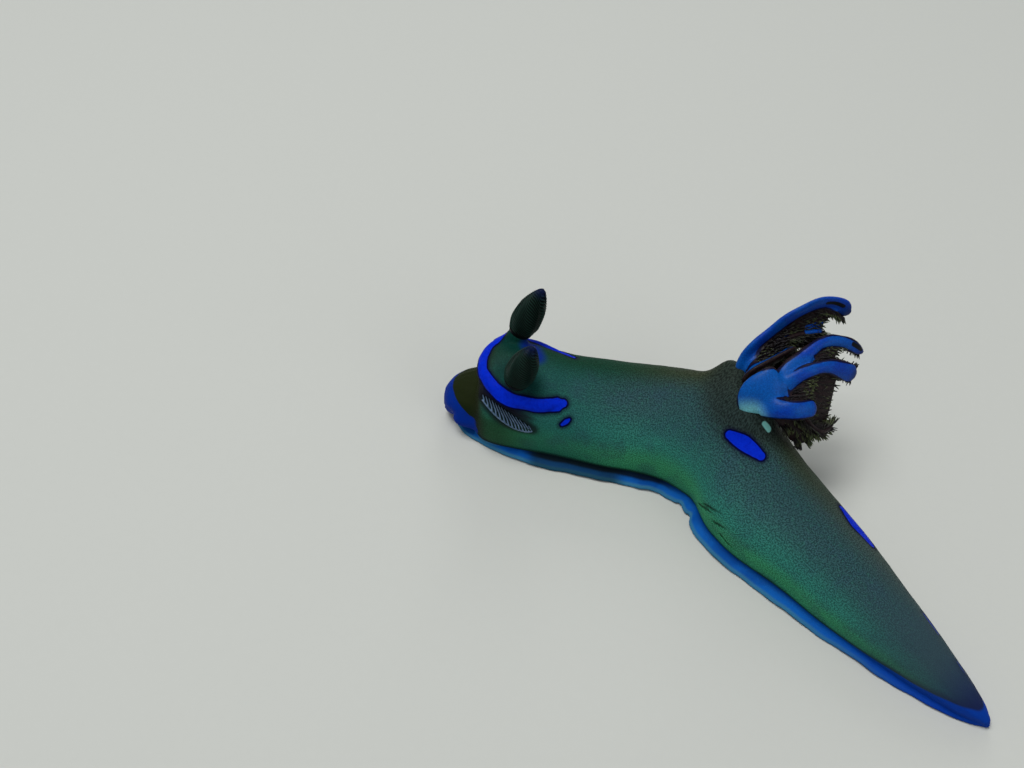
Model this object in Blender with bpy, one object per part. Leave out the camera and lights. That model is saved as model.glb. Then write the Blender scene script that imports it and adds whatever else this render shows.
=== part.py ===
"""Blue-spotted wrinkle dorid, a sea slug, crawling on a flat floor at life size.

World units are metres with +Z up. Every named size below is in millimetres, and each finished
mesh is scaled once to metres. The origin is the centre of the animal's box, at the floor. The
head points to -X, the camera side is -Y, and the body bends to its own left behind the gills.
"""

import math

import bmesh
import bpy
import numpy as np
from mathutils import Matrix

MM = 0.001
GAP = 0.3

# The line along the sole, from the snout's tip to the tail's tip.
BODY_LENGTH = 78.3
SNOUT_TIP = (-29.46, 20.26)
HEAD_HEADING = math.radians(-12.1)
BODY_TURN = math.radians(-46.2)
TURN_START, TURN_END = 23.2, 42.3
TAIL_TURN = math.radians(9.8)
TAIL_TURN_START = 47.0

# Distance along the body, half width of the flesh at its widest, height above the floor.
BODY_STATIONS = (
    (4.8, 5.0, 10.0),
    (6.5, 5.8, 11.6),
    (8.5, 6.2, 12.1),
    (11.0, 6.3, 11.9),
    (14.0, 6.3, 11.2),
    (17.5, 6.5, 10.6),
    (21.9, 6.8, 10.5),
    (33.0, 6.8, 11.3),
    (43.0, 6.3, 9.6),
    (55.0, 5.6, 8.5),
    (66.6, 3.6, 6.6),
    (74.4, 1.9, 3.7),
    (77.6, 0.7, 1.9),
)
SNOUT_STATIONS = (
    (0.0, 1.6, 4.0),
    (0.8, 2.9, 5.3),
    (2.4, 3.9, 6.5),
    (4.5, 4.3, 7.2),
)
FOOT_STATIONS = (
    (2.0, 2.6),
    (3.4, 4.0),
    (6.3, 5.4),
    (11.7, 6.9),
    (21.9, 7.8),
    (33.0, 7.7),
    (43.0, 7.3),
    (55.0, 6.6),
    (66.6, 4.2),
    (74.4, 2.3),
    (78.3, 0.5),
)
BODY_SEGMENTS = (
    ("head", 4.8, 17.0),
    ("trunk_front", 17.0, 28.0),
    ("trunk_middle", 28.0, 45.0),
    ("tail_base", 45.0, 56.0),
    ("tail_middle", 56.0, 66.5),
    ("tail_tip", 66.5, 77.6),
)
FOOT_SEGMENTS = (
    ("foot_front", 2.0, 17.0),
    ("foot_middle", 17.0, 36.0),
    ("foot_rear", 36.0, 57.0),
    ("foot_tip", 57.0, 78.3),
)
RING_STEP = 2.0

# The flesh's cross-section.
WIDEST_HEIGHT = 0.42
TRUNK_ROUNDNESS, TAIL_ROUNDNESS = 0.92, 1.2
FLANK_TUCK = 0.13
TUCK_ANGLE = math.radians(30)
ARCH_POINTS = 11
FOOT_THICKNESS = 0.9

# The swelling of the back that carries the gills: where it is, how high, and how far it spreads.
HUMP_STATION, HUMP_LEFT, HUMP_HEIGHT = 37.5, -1.5, 3.2
HUMP_LENGTH, HUMP_WIDTH = 3.6, 3.6

# The foot and the snout.
FOOT_EDGE = 0.55
SNOUT_LIP_HEIGHT, SNOUT_TUCK = 3.6, 0.34

# The raised band round the front of the head.
RIM_LINE = ((5.2, 0), (5.5, 20), (6.8, 37), (8.7, 48), (10.6, 51), (12.5, 50), (14.6, 45), (16.1, 39))
RIM_HALF_WIDTH, RIM_HEIGHT = 0.9, 0.8
RIM_POINTS = 33

# The slot in each side of the head.
SLOT_FRONT, SLOT_BACK = 5.8, 12.6
SLOT_PHI_FRONT, SLOT_PHI_BACK = math.radians(52), math.radians(80)
SLOT_DEPTH, SLOT_HALF_HEIGHT = 0.7, 0.85

# The line of the mouth, under the snout's front edge.
MOUTH_HEIGHT, MOUTH_HALF_WIDTH, MOUTH_DEPTH, MOUTH_OPENING = 2.0, 1.25, 0.6, 0.26

# Rhinophores: the sheath on the head, then the club.
SHEATH_BASE, SHEATH_TOP = 2.5, 1.3
CLUB_SIDES = 14
RHINOPHORES = (
    {"side": "left", "station": 9.8, "phi": 38, "rise": 0.8, "lean": (0.30, -0.08, 1.0), "length": 7.0},
    {"side": "right", "station": 8.4, "phi": -34, "rise": 1.5, "lean": (0.42, 0.10, 1.0), "length": 7.2},
)
CLUB_PROFILE = ((0.0, 1.3), (0.10, 1.6), (0.32, 1.95), (0.58, 1.75), (0.82, 1.15), (0.95, 0.55), (1.0, 0.2))
CLUB_FLATNESS = 0.82

# The thin leaves stacked up each club, which slope down to the rear.
CLUB_LEAVES, CLUB_LEAF_DEPTH, CLUB_LEAF_SLOPE = 11, 0.24, 0.42
CLUB_LEAVES_START, CLUB_LEAVES_END = 0.13, 0.93

# Oral tentacles, one lobe at each side of the mouth.
TENTACLE_ROOT, TENTACLE_TIP = (4.42, 4.15, 2.25), (0.7, 3.8, 2.0)
TENTACLE_HALF_HEIGHT, TENTACLE_HALF_THICKNESS = 0.95, 0.55

# The gill plume: a flat seat on the swelling, and leaves that lean back over the right side. Each
# limb's route is given from the seat's centre. Its width is the half width at the root, the middle
# and the tip, and its thickness the half thickness at the root and the tip.
GILL_STATION, GILL_PHI = 37.6, math.radians(-20)
GILL_SEAT_RISE, GILL_SEAT_LEAN = 1.2, (0.32, 0.14, 0.94)
GILL_SEAT_TOP, GILL_SEAT_FOOT, GILL_SEAT_DEPTH = 3.8, 4.3, 3.0
LEAF_SIDES, LIMB_RING_STEP, ROOT_TURN, TIP_BLUNTNESS = 8, 1.3, 0.7, 0.55

# The filaments along a limb's inner edges: one every pitch from each side, rooted a sink deep.
FILAMENT_SIDES, FILAMENT_RADIUS, FILAMENT_LENGTH, FILAMENT_SINK = 4, 0.30, 1.5, 0.66
FILAMENT_PITCH, FILAMENTS_START, FILAMENTS_END = 0.95, 0.35, 0.96
FILAMENT_LEAN = (0.62, 0.55, 0.55)
LEAVES = (
    {
        "name": "gill_leaf_left_front",
        "root_outer": (-0.80, -0.40, 0.40),
        "outer": (-0.10, -0.75, 0.65),
        "limbs": (
            {"route": ((-1.2, -1.8, 0.0), (-0.5, -2.0, 2.0), (1.0, -2.0, 2.8), (2.8, -1.3, 3.0)),
             "width": (1.8, 2.3, 2.2), "thickness": (0.8, 0.9), "filaments": ()},
            {"route": ((1.2, -1.6, 2.4), (4.6, 1.0, 3.9), (7.0, 2.5, 4.7), (9.6, 3.2, 4.3), (12.0, 3.5, 2.6)),
             "width": (1.6, 1.5, 0.8), "thickness": (0.8, 0.4), "filaments": (1,)},
            {"route": ((1.4, -2.0, 2.4), (4.6, -1.0, 2.9), (7.6, 0.2, 2.5), (10.6, 1.2, 1.5)),
             "width": (1.5, 1.3, 1.0), "thickness": (0.8, 0.4), "filaments": (-1, 1)},
            {"route": ((0.0, -2.4, 2.0), (1.8, -3.8, 1.9), (3.6, -4.2, 1.2), (5.5, -3.3, 0.3)),
             "width": (1.5, 1.3, 1.0), "thickness": (0.8, 0.4), "filaments": (-1,)},
            {"route": ((0.4, -2.3, 1.6), (3.0, -3.0, 1.4), (5.2, -3.3, -0.6), (7.3, -3.1, -2.4), (9.4, -1.1, -3.1)),
             "width": (1.0, 1.5, 1.0), "thickness": (0.5, 0.4), "outer": (0.10, -0.70, -0.60),
             "filaments": (1,)},
        ),
    },
    {
        "name": "gill_leaf_right_front",
        "root_outer": (-0.70, 0.70, 0.10),
        "outer": (-0.30, 0.90, 0.30),
        "limbs": (
            {"route": ((-1.7, 2.5, 0.0), (-0.8, 4.0, 2.1), (2.2, 5.8, 4.4), (5.4, 6.9, 5.9),
                       (8.0, 7.3, 6.2), (10.0, 7.3, 5.5)), "width": (1.2, 1.9, 1.3), "thickness": (0.6, 0.4),
             "filaments": (-1,)},
            {"route": ((-0.2, 4.0, 1.4), (2.4, 5.1, 2.4), (5.4, 6.0, 3.2), (8.4, 6.5, 3.4)),
             "width": (1.0, 1.5, 0.9), "thickness": (0.7, 0.4), "filaments": (1,)},
        ),
    },
    {
        "name": "gill_leaf_right_rear",
        "root_outer": (0.20, 0.90, 0.00),
        "outer": (0.10, 0.90, -0.30),
        "limbs": (
            {"route": ((1.8, 2.5, 0.0), (3.3, 3.7, 0.6), (6.2, 5.5, 0.1), (9.1, 7.0, 0.0)),
             "width": (1.1, 1.2, 0.8), "thickness": (0.7, 0.4), "filaments": (-1,)},
        ),
    },
    {
        "name": "gill_leaf_rear",
        "root_outer": (0.90, 0.00, 0.20),
        "outer": (0.30, 0.00, -0.90),
        "limbs": (
            {"route": ((2.9, 0.3, 0.0), (4.1, 0.2, 0.6), (6.5, 1.1, 0.0), (9.0, 2.3, -0.5)),
             "width": (1.1, 1.3, 0.8), "thickness": (0.7, 0.4), "filaments": (1,)},
        ),
    },
)
PAPILLA_RADIUS, PAPILLA_HEIGHT = 0.7, 1.7

COLOURS = {
    "mantle_skin": ((0.018, 0.075, 0.055, 1), 0.42),
    "foot_margin": ((0.0, 0.10, 0.55, 1), 0.40),
    "rhinophore_flesh": ((0.006, 0.028, 0.026, 1), 0.50),
    "gill_flesh": ((0.004, 0.055, 0.50, 1), 0.38),
}


def smooth(t):
    t = min(max(t, 0.0), 1.0)
    return t * t * (3 - 2 * t)


def read_table(rows, column, at):
    """A smooth curve through one column of a table of stations, with no overshoot."""
    x = [row[0] for row in rows]
    y = [row[column] for row in rows]
    at = min(max(at, x[0]), x[-1])
    steps = [(y[i + 1] - y[i]) / (x[i + 1] - x[i]) for i in range(len(x) - 1)]
    slopes = [steps[0]]
    for before, after in zip(steps, steps[1:]):
        rising = before * after > 0
        slopes.append(2 * before * after / (before + after) if rising else 0.0)
    slopes.append(steps[-1])
    i = max(k for k in range(len(x) - 1) if x[k] <= at)
    span = x[i + 1] - x[i]
    t = (at - x[i]) / span
    rise = y[i + 1] - y[i]
    bend = (slopes[i] * span - rise) * (1 - t) - (slopes[i + 1] * span - rise) * t
    return y[i] + rise * t + t * (1 - t) * bend


def heading_at(s):
    turned = BODY_TURN * smooth((s - TURN_START) / (TURN_END - TURN_START))
    straightened = TAIL_TURN * smooth((s - TAIL_TURN_START) / (BODY_LENGTH - TAIL_TURN_START))
    return HEAD_HEADING + turned + straightened


def walk_centreline(step=0.1):
    """Points along the sole's middle line, from the heading at each step."""
    along = np.arange(0.0, BODY_LENGTH + step, step)
    middle = [heading_at(s + step / 2) for s in along[:-1]]
    x = SNOUT_TIP[0] + np.concatenate([[0.0], np.cumsum(np.cos(middle) * step)])
    y = SNOUT_TIP[1] + np.concatenate([[0.0], np.cumsum(np.sin(middle) * step)])
    return along, x, y


ALONG, LINE_X, LINE_Y = walk_centreline()


def place(s, left, z):
    """The point at distance s along the body, left of its middle line by left, at height z."""
    angle = heading_at(s)
    x = np.interp(s, ALONG, LINE_X) + math.sin(angle) * left
    y = np.interp(s, ALONG, LINE_Y) - math.cos(angle) * left
    return np.array((x, y, z))


def arch_point(phi, half_width, height, roundness, bottom):
    """One point of the flesh's outline: phi is 0 at the back's middle and grows to the left."""
    widest = max(WIDEST_HEIGHT * height, bottom + 0.2)
    side = math.copysign(1.0, phi)
    if abs(phi) <= math.pi / 2:
        z = widest + (height - widest) * max(math.cos(phi), 0.0) ** roundness
        return half_width * math.sin(phi), z
    t = (abs(phi) - math.pi / 2) / TUCK_ANGLE
    return side * half_width * (1 - FLANK_TUCK * t * t), widest - (widest - bottom) * t


def body_section(s):
    tail = smooth((s - BODY_SEGMENTS[3][1]) / (BODY_LENGTH - BODY_SEGMENTS[3][1]))
    roundness = TRUNK_ROUNDNESS + (TAIL_ROUNDNESS - TRUNK_ROUNDNESS) * tail
    return read_table(BODY_STATIONS, 1, s), read_table(BODY_STATIONS, 2, s), roundness


def hump(s, left):
    """How far the gills' swelling raises the back."""
    spread = ((s - HUMP_STATION) / HUMP_LENGTH) ** 2 + ((left - HUMP_LEFT) / HUMP_WIDTH) ** 2
    return HUMP_HEIGHT * math.exp(-0.5 * spread)


def body_point(s, phi, lift=0.0):
    """A point on the flesh, moved outwards by lift."""
    half_width, height, roundness = body_section(s)
    bottom = FOOT_THICKNESS + GAP
    left, z = arch_point(phi, half_width, height, roundness, bottom)
    z += hump(s, left) * max(z - bottom, 0) / height
    if not lift:
        return place(s, left, z)
    return place(s, left, z) + lift * body_normal(s, phi)


def body_normal(s, phi):
    step = 0.02
    along = body_point(s + step, phi) - body_point(s - step, phi)
    across = body_point(s, phi + step) - body_point(s, phi - step)
    normal = np.cross(along, across)
    normal /= np.linalg.norm(normal)
    outwards = body_point(s, phi) - place(s, 0, WIDEST_HEIGHT * body_section(s)[1])
    return normal if normal @ outwards > 0 else -normal


def unit(vector):
    vector = np.asarray(vector, float)
    return vector / np.linalg.norm(vector)


def stations_between(start, end, step=RING_STEP):
    count = max(2, round((end - start) / step) + 1)
    return np.linspace(start, end, count)


def gap_share(s, half_width):
    """Half the gap at a joint of two lengths, widened where the bend would close it."""
    bend = abs(heading_at(s + 0.5) - heading_at(s - 0.5))
    return 0.5 * GAP / (1 - bend * half_width)


def parted(table, segments, start, end):
    """The two ends of one length, drawn in by its half of each gap."""
    if start > segments[0][1]:
        start += gap_share(start, read_table(table, 1, start))
    if end < segments[-1][2]:
        end -= gap_share(end, read_table(table, 1, end))
    return start, end


def make_material(name):
    colour, roughness = COLOURS[name]
    material = bpy.data.materials.new(name)
    material.use_nodes = True
    shader = material.node_tree.nodes["Principled BSDF"]
    shader.inputs["Base Color"].default_value = colour
    shader.inputs["Roughness"].default_value = roughness
    shader.inputs["Metallic"].default_value = 0.0
    return material


def raw_object(name, points, faces):
    """A mesh object in millimetres, with its faces turned outwards."""
    mesh = bpy.data.meshes.new(name)
    mesh.from_pydata([tuple(p) for p in points], [], faces)
    shape = bmesh.new()
    shape.from_mesh(mesh)
    bmesh.ops.triangulate(shape, faces=shape.faces[:])
    bmesh.ops.recalc_face_normals(shape, faces=shape.faces[:])
    shape.to_mesh(mesh)
    shape.free()
    made = bpy.data.objects.new(name, mesh)
    bpy.context.scene.collection.objects.link(made)
    return made


def ring_faces(rings, sides):
    faces = []
    for i in range(rings - 1):
        for k in range(sides):
            n = (k + 1) % sides
            faces.append((i * sides + k, i * sides + n, (i + 1) * sides + n, (i + 1) * sides + k))
    return faces


def loft(name, rings, tip=None):
    """A closed skin through rings of points, flat at its ends, or ending in the point tip."""
    sides = len(rings[0])
    points = [p for ring in rings for p in ring]
    faces = ring_faces(len(rings), sides)
    faces.append(tuple(range(sides)))
    last = (len(rings) - 1) * sides
    if tip is None:
        faces.append(tuple(range(last, last + sides)))
    else:
        points.append(tip)
        faces += [(last + k, last + (k + 1) % sides, len(points) - 1) for k in range(sides)]
    return raw_object(name, points, faces)


def oval(centre, across, up, half_across, half_up, sides):
    turns = [2 * math.pi * k / sides for k in range(sides)]
    return [centre + across * half_across * math.cos(a) + up * half_up * math.sin(a) for a in turns]


def keep_largest(made):
    """Drops every loose scrap or sealed hollow that a union or a cut leaves."""
    shape = bmesh.new()
    shape.from_mesh(made.data)
    bmesh.ops.triangulate(shape, faces=shape.faces[:])
    unseen = set(shape.verts)
    groups = []
    while unseen:
        queue = [unseen.pop()]
        group = set(queue)
        while queue:
            for edge in queue.pop().link_edges:
                for vertex in edge.verts:
                    if vertex in unseen:
                        unseen.discard(vertex)
                        group.add(vertex)
                        queue.append(vertex)
        groups.append(group)
    groups.sort(key=len)
    for group in groups[:-1]:
        bmesh.ops.delete(shape, geom=list(group), context="VERTS")
    shape.to_mesh(made.data)
    shape.free()


def boolean(made, others, operation):
    """Joins the other closed meshes to this one, or cuts them from it, and removes them."""
    group = bpy.data.collections.new("pieces")
    bpy.context.scene.collection.children.link(group)
    for other in others:
        bpy.context.scene.collection.objects.unlink(other)
        group.objects.link(other)
    modifier = made.modifiers.new("join", "BOOLEAN")
    modifier.operand_type = "COLLECTION"
    modifier.collection = group
    modifier.operation = operation
    modifier.solver = "EXACT"
    bpy.context.view_layer.update()
    evaluated = made.evaluated_get(bpy.context.evaluated_depsgraph_get())
    joined = bpy.data.meshes.new_from_object(evaluated)
    made.modifiers.clear()
    made.data = joined
    for other in others:
        bpy.data.objects.remove(other)
    bpy.data.collections.remove(group)
    keep_largest(made)
    return made


def finish(made, name, material, smooth_angle=50):
    """Scales a finished piece to metres, then names, shades and colours it."""
    made.data.transform(Matrix.Scale(MM, 4))
    made.name = name
    made.data.name = name
    made.data.materials.clear()
    made.data.materials.append(material)
    made.data.shade_smooth()
    made.data.set_sharp_from_angle(angle=math.radians(smooth_angle))
    return made


def body_ring(s):
    widest = math.pi / 2 + TUCK_ANGLE
    return [body_point(s, phi) for phi in np.linspace(-widest, widest, 2 * ARCH_POINTS + 1)]


def build_segment(name, start, end):
    start, end = parted(BODY_STATIONS, BODY_SEGMENTS, start, end)
    return loft(name, [body_ring(s) for s in stations_between(start, end)])


def snout_ring(s):
    """The snout is widest high up, and drawn in below to leave room for the two lobes."""
    half_width = read_table(SNOUT_STATIONS, 1, s)
    height = read_table(SNOUT_STATIONS, 2, s)
    bottom = FOOT_THICKNESS + GAP
    ring = []
    for phi in np.linspace(-math.pi / 2 - TUCK_ANGLE, math.pi / 2 + TUCK_ANGLE, 2 * ARCH_POINTS - 3):
        left, z = arch_point(phi, half_width, height, 1.0, bottom)
        if z < SNOUT_LIP_HEIGHT:
            left *= 1 - SNOUT_TUCK * (1 - (z - bottom) / (SNOUT_LIP_HEIGHT - bottom)) ** 0.5
        ring.append(place(s, left, z))
    return ring


def build_snout():
    stations = (0.0, 0.35, 0.8, 1.5, 2.4, 3.4, 4.5)
    return loft("snout", [snout_ring(s) for s in stations])


def build_mouth_cutter():
    """A slit across the snout's front, which is the line between the lips."""
    ahead = unit(place(0, 0, 0) - place(1, 0, 0))
    up = np.array((0.0, 0.0, 1.0))
    rings = []
    for t, wide in ((-1.0, 0.3), (-0.6, 0.8), (0.0, 1.0), (0.6, 0.8), (1.0, 0.3)):
        centre = place(0, t * MOUTH_HALF_WIDTH, MOUTH_HEIGHT - 0.12 * t * t)
        rings.append(oval(centre, ahead, up, MOUTH_DEPTH * wide, MOUTH_OPENING * wide, 8))
    return loft("mouth", rings)


def foot_ring(s):
    """The sole's outline: flat below, thin at the margin, thicker under the flesh."""
    half = read_table(FOOT_STATIONS, 1, s)
    flesh = max(half - 1.4, 0.5 * half)
    half_profile = ((0.0, 0.0), (0.6 * half, 0.0), (half - 0.12, 0.0), (half, 0.5 * FOOT_EDGE))
    top_profile = ((half - 0.12, FOOT_EDGE), (flesh, FOOT_THICKNESS - 0.1), (0.5 * flesh, FOOT_THICKNESS))
    left_side = [place(s, left, z) for left, z in half_profile + top_profile]
    right_side = [place(s, -left, z) for left, z in (half_profile + top_profile)[1:]]
    return left_side + [place(s, 0.0, FOOT_THICKNESS)] + right_side[::-1]


def build_foot(name, start, end):
    start, end = parted(FOOT_STATIONS, FOOT_SEGMENTS, start, end)
    return loft(name, [foot_ring(s) for s in stations_between(start, end)])


def rim_place(t):
    """Station and angle of the head's band, for t from -1 at its right end to 1 at its left."""
    along = abs(t) * (len(RIM_LINE) - 1)
    knots = [(k, *point) for k, point in enumerate(RIM_LINE)]
    s = read_table(knots, 1, along)
    return s, math.copysign(math.radians(read_table(knots, 2, along)), t)


def build_rim():
    places = [rim_place(t) for t in np.linspace(-1, 1, RIM_POINTS)]
    centres = [body_point(s, phi) for s, phi in places]
    rings = []
    for i, (s, phi) in enumerate(places):
        along = unit(centres[min(i + 1, len(centres) - 1)] - centres[max(i - 1, 0)])
        outward = body_normal(s, phi)
        across = unit(np.cross(along, outward))
        end = 0.35 + 0.65 * smooth(min(i, len(places) - 1 - i) / 2)
        rings.append(oval(centres[i], across, outward, RIM_HALF_WIDTH * end, RIM_HEIGHT * end, 8))
    return loft("rim", rings)


def slot_place(t, side):
    s = SLOT_FRONT + (SLOT_BACK - SLOT_FRONT) * t
    return s, side * (SLOT_PHI_FRONT + (SLOT_PHI_BACK - SLOT_PHI_FRONT) * t)


def build_slot_cutter(side):
    rings = []
    steps = np.linspace(0, 1, 9)
    for t in steps:
        s, phi = slot_place(t, side)
        swell = 0.18 + 0.82 * math.sin(math.pi * t) ** 0.7
        centre = body_point(s, phi)
        outward = body_normal(s, phi)
        ahead = body_point(*slot_place(min(t + 0.05, 1), side))
        behind = body_point(*slot_place(max(t - 0.05, 0), side))
        across = unit(np.cross(unit(ahead - behind), outward))
        rings.append(oval(centre, across, outward, SLOT_HALF_HEIGHT * swell, SLOT_DEPTH * swell, 8))
    return loft("slot", rings)


def sheath_axis(rhinophore):
    return unit(rhinophore["lean"])


def sheath_top(rhinophore):
    """Centre of the flat seat on which the club stands."""
    phi = math.radians(rhinophore["phi"])
    return body_point(rhinophore["station"], phi) + sheath_axis(rhinophore) * rhinophore["rise"]


def frame_across(axis):
    """Two directions across an axis: the first points along the animal's length."""
    forward = np.array((math.cos(HEAD_HEADING), math.sin(HEAD_HEADING), 0.0))
    first = unit(forward - axis * (forward @ axis))
    return first, np.cross(axis, first)


def build_sheath(rhinophore):
    axis = sheath_axis(rhinophore)
    top = sheath_top(rhinophore)
    first, second = frame_across(axis)
    sink = rhinophore["rise"] + 1.6
    rings = []
    for t in (0.0, 0.35, 0.62, 0.8, 0.92, 1.0):
        radius = SHEATH_TOP + (SHEATH_BASE - SHEATH_TOP) * (1 - t) ** 1.6
        rings.append(oval(top - axis * sink * (1 - t), first, second, radius, radius * 0.9, CLUB_SIDES))
    return loft("sheath", rings)


def build_club(rhinophore):
    """The rhinophore's upper part, an upright club flattened from side to side, with its stack of leaves."""
    axis = sheath_axis(rhinophore)
    root = sheath_top(rhinophore) + axis * GAP
    first, second = frame_across(axis)
    edges = np.linspace(CLUB_LEAVES_START, CLUB_LEAVES_END, 2 * CLUB_LEAVES + 1)
    stations = [(0.0, 0.0)] + [(t, CLUB_LEAF_DEPTH * (k % 2 == 0)) for k, t in enumerate(edges)] + [(1.0, 0.0)]
    rings = []
    for t, groove in stations:
        full = read_table(CLUB_PROFILE, 1, t)
        radius = full - groove
        slope = CLUB_LEAF_SLOPE * full * smooth(t / 0.3) * smooth((1 - t) / 0.2)
        centre = root + axis * rhinophore["length"] * t
        tilted = first * radius - axis * slope
        rings.append(oval(centre, tilted, second, 1.0, radius * CLUB_FLATNESS, CLUB_SIDES))
    return loft("club", rings)


def build_tentacle(side):
    """A flat, blunt lobe that lies forward along the snout, beside the mouth."""
    s, left, z = TENTACLE_ROOT
    root = place(s, side * left, z)
    s, left, z = TENTACLE_TIP
    tip = place(s, side * left, z)
    out = unit(place(s, side, 0) - place(s, 0, 0))
    up = unit(np.cross(tip - root, out))
    up = up if up[2] > 0 else -up
    rings = []
    for t, wide in ((0.0, 0.9), (0.35, 1.0), (0.7, 0.95), (0.92, 0.7), (1.0, 0.35)):
        centre = root + (tip - root) * t
        rings.append(oval(centre, out, up, TENTACLE_HALF_THICKNESS * wide, TENTACLE_HALF_HEIGHT * wide, 10))
    return loft("tentacle", rings)


def gill_seat():
    """Centre and normal of the flat seat that carries the gill leaves."""
    normal = unit(GILL_SEAT_LEAN)
    return body_point(GILL_STATION, GILL_PHI) + normal * GILL_SEAT_RISE, normal


def seat_frame(normal):
    forward = np.array((1.0, 0.0, 0.0))
    first = unit(forward - normal * (forward @ normal))
    return first, np.cross(normal, first)


def build_seat():
    centre, normal = gill_seat()
    first, second = seat_frame(normal)
    rings = []
    for t in (0.0, 0.3, 0.55, 0.8, 1.0):
        radius = GILL_SEAT_TOP + (GILL_SEAT_FOOT - GILL_SEAT_TOP) * (1 - t) ** 2
        sunk = centre - normal * GILL_SEAT_DEPTH * (1 - t)
        rings.append(oval(sunk, first, second, radius, radius * 0.92, 20))
    return loft("seat", rings)


def route_point(route, t):
    """A smooth curve through a limb's points, read at t from 0 to 1."""
    knots = np.asarray(route)
    at = min(max(t, 0.0), 1.0) * (len(knots) - 1)
    i = min(int(at), len(knots) - 2)
    f = at - i
    before = knots[i - 1] if i else 2 * knots[0] - knots[1]
    after = knots[i + 2] if i + 2 < len(knots) else 2 * knots[-1] - knots[-2]
    here, ahead = knots[i], knots[i + 1]
    slope_here, slope_ahead = (ahead - before) / 2, (after - here) / 2
    rise = ahead - here
    bend = (slope_here - rise) * (1 - f) - (slope_ahead - rise) * f
    return here + rise * f + f * (1 - f) * bend


def seated(point):
    """Moves a limb's root straight down or up onto the seat's plane, a gap above it."""
    centre, normal = gill_seat()
    return point - normal * ((point - centre) @ normal - GAP)


def limb_route(limb, leaf):
    centre, _ = gill_seat()
    route = [centre + np.asarray(point) for point in limb["route"]]
    if limb is leaf["limbs"][0]:
        route[0] = seated(route[0])
    return route


def limb_frame(limb, leaf, t):
    """Middle, tangent, outer face, half width and half thickness of a limb at t from 0 to 1."""
    route = limb_route(limb, leaf)
    on_seat = limb is leaf["limbs"][0]
    tangent = unit(route_point(route, min(t + 0.02, 1)) - route_point(route, max(t - 0.02, 0)))
    if on_seat and not t:
        tangent = gill_seat()[1]
    turned = smooth(t / ROOT_TURN) if on_seat else 1.0
    outer = np.asarray(limb.get("outer", leaf["outer"]))
    face = np.asarray(leaf["root_outer"]) * (1 - turned) + outer * turned
    face = unit(face - tangent * (face @ tangent))
    wide = read_table(list(zip((0.0, 0.5, 1.0), limb["width"])), 1, t)
    thick = read_table(list(zip((0.0, 1.0), limb["thickness"])), 1, t)
    return route_point(route, t), tangent, face, wide, thick


def limb_length(limb, leaf):
    route = limb_route(limb, leaf)
    return sum(np.linalg.norm(b - a) for a, b in zip(route, route[1:]))


def build_limb(limb, leaf):
    """A tapered limb along its route. One that stands on the seat has its root in the seat's plane."""
    count = max(5, round(limb_length(limb, leaf) / LIMB_RING_STEP) + 1)
    rings = []
    for t in np.linspace(0, 1, count):
        middle, tangent, face, wide, thick = limb_frame(limb, leaf, t)
        blunt = TIP_BLUNTNESS if t == 1 else 1.0
        rings.append(oval(middle, np.cross(tangent, face), face, wide * blunt, thick * blunt, LEAF_SIDES))
    return loft("limb", rings)


def build_filament(limb, leaf, t, side):
    """One short tapered filament, from inside a limb's edge out over its inner face."""
    middle, tangent, face, wide, thick = limb_frame(limb, leaf, t)
    across = np.cross(tangent, face) * side
    ahead, aside, inward = FILAMENT_LEAN
    way = unit(tangent * ahead + across * aside - face * inward)
    root = middle + across * (wide - 0.45) - face * 0.3 * thick
    first = unit(np.cross(way, face))
    second = np.cross(way, first)
    rings = []
    for u, share in ((0.0, 1.0), (0.6, 0.95), (0.86, 0.6)):
        radius = FILAMENT_RADIUS * share
        centre = root + way * (FILAMENT_SINK + FILAMENT_LENGTH) * u
        rings.append(oval(centre, first, second, radius, radius, FILAMENT_SIDES))
    return loft("filament", rings, root + way * (FILAMENT_SINK + FILAMENT_LENGTH))


def build_filaments(limb, leaf):
    if not limb["filaments"]:
        return []
    span = (FILAMENTS_END - FILAMENTS_START) * limb_length(limb, leaf)
    steps = np.linspace(FILAMENTS_START, FILAMENTS_END, round(span / FILAMENT_PITCH) + 1)
    return [build_filament(limb, leaf, t, side) for t in steps for side in limb["filaments"]]


def build_leaf(leaf):
    limbs = [build_limb(limb, leaf) for limb in leaf["limbs"]]
    filaments = [filament for limb in leaf["limbs"] for filament in build_filaments(limb, leaf)]
    return boolean(limbs[0], limbs[1:] + filaments, "UNION")


def build_papilla():
    centre, normal = gill_seat()
    first, second = seat_frame(normal)
    rings = []
    for t, wide in ((0.0, 1.0), (0.35, 0.92), (0.75, 0.7), (1.0, 0.4)):
        middle = centre + normal * (GAP + PAPILLA_HEIGHT * t)
        rings.append(oval(middle, first, second, PAPILLA_RADIUS * wide, PAPILLA_RADIUS * wide, 10))
    return loft("papilla", rings)


def clear_scene():
    for old in list(bpy.data.objects):
        bpy.data.objects.remove(old)


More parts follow.
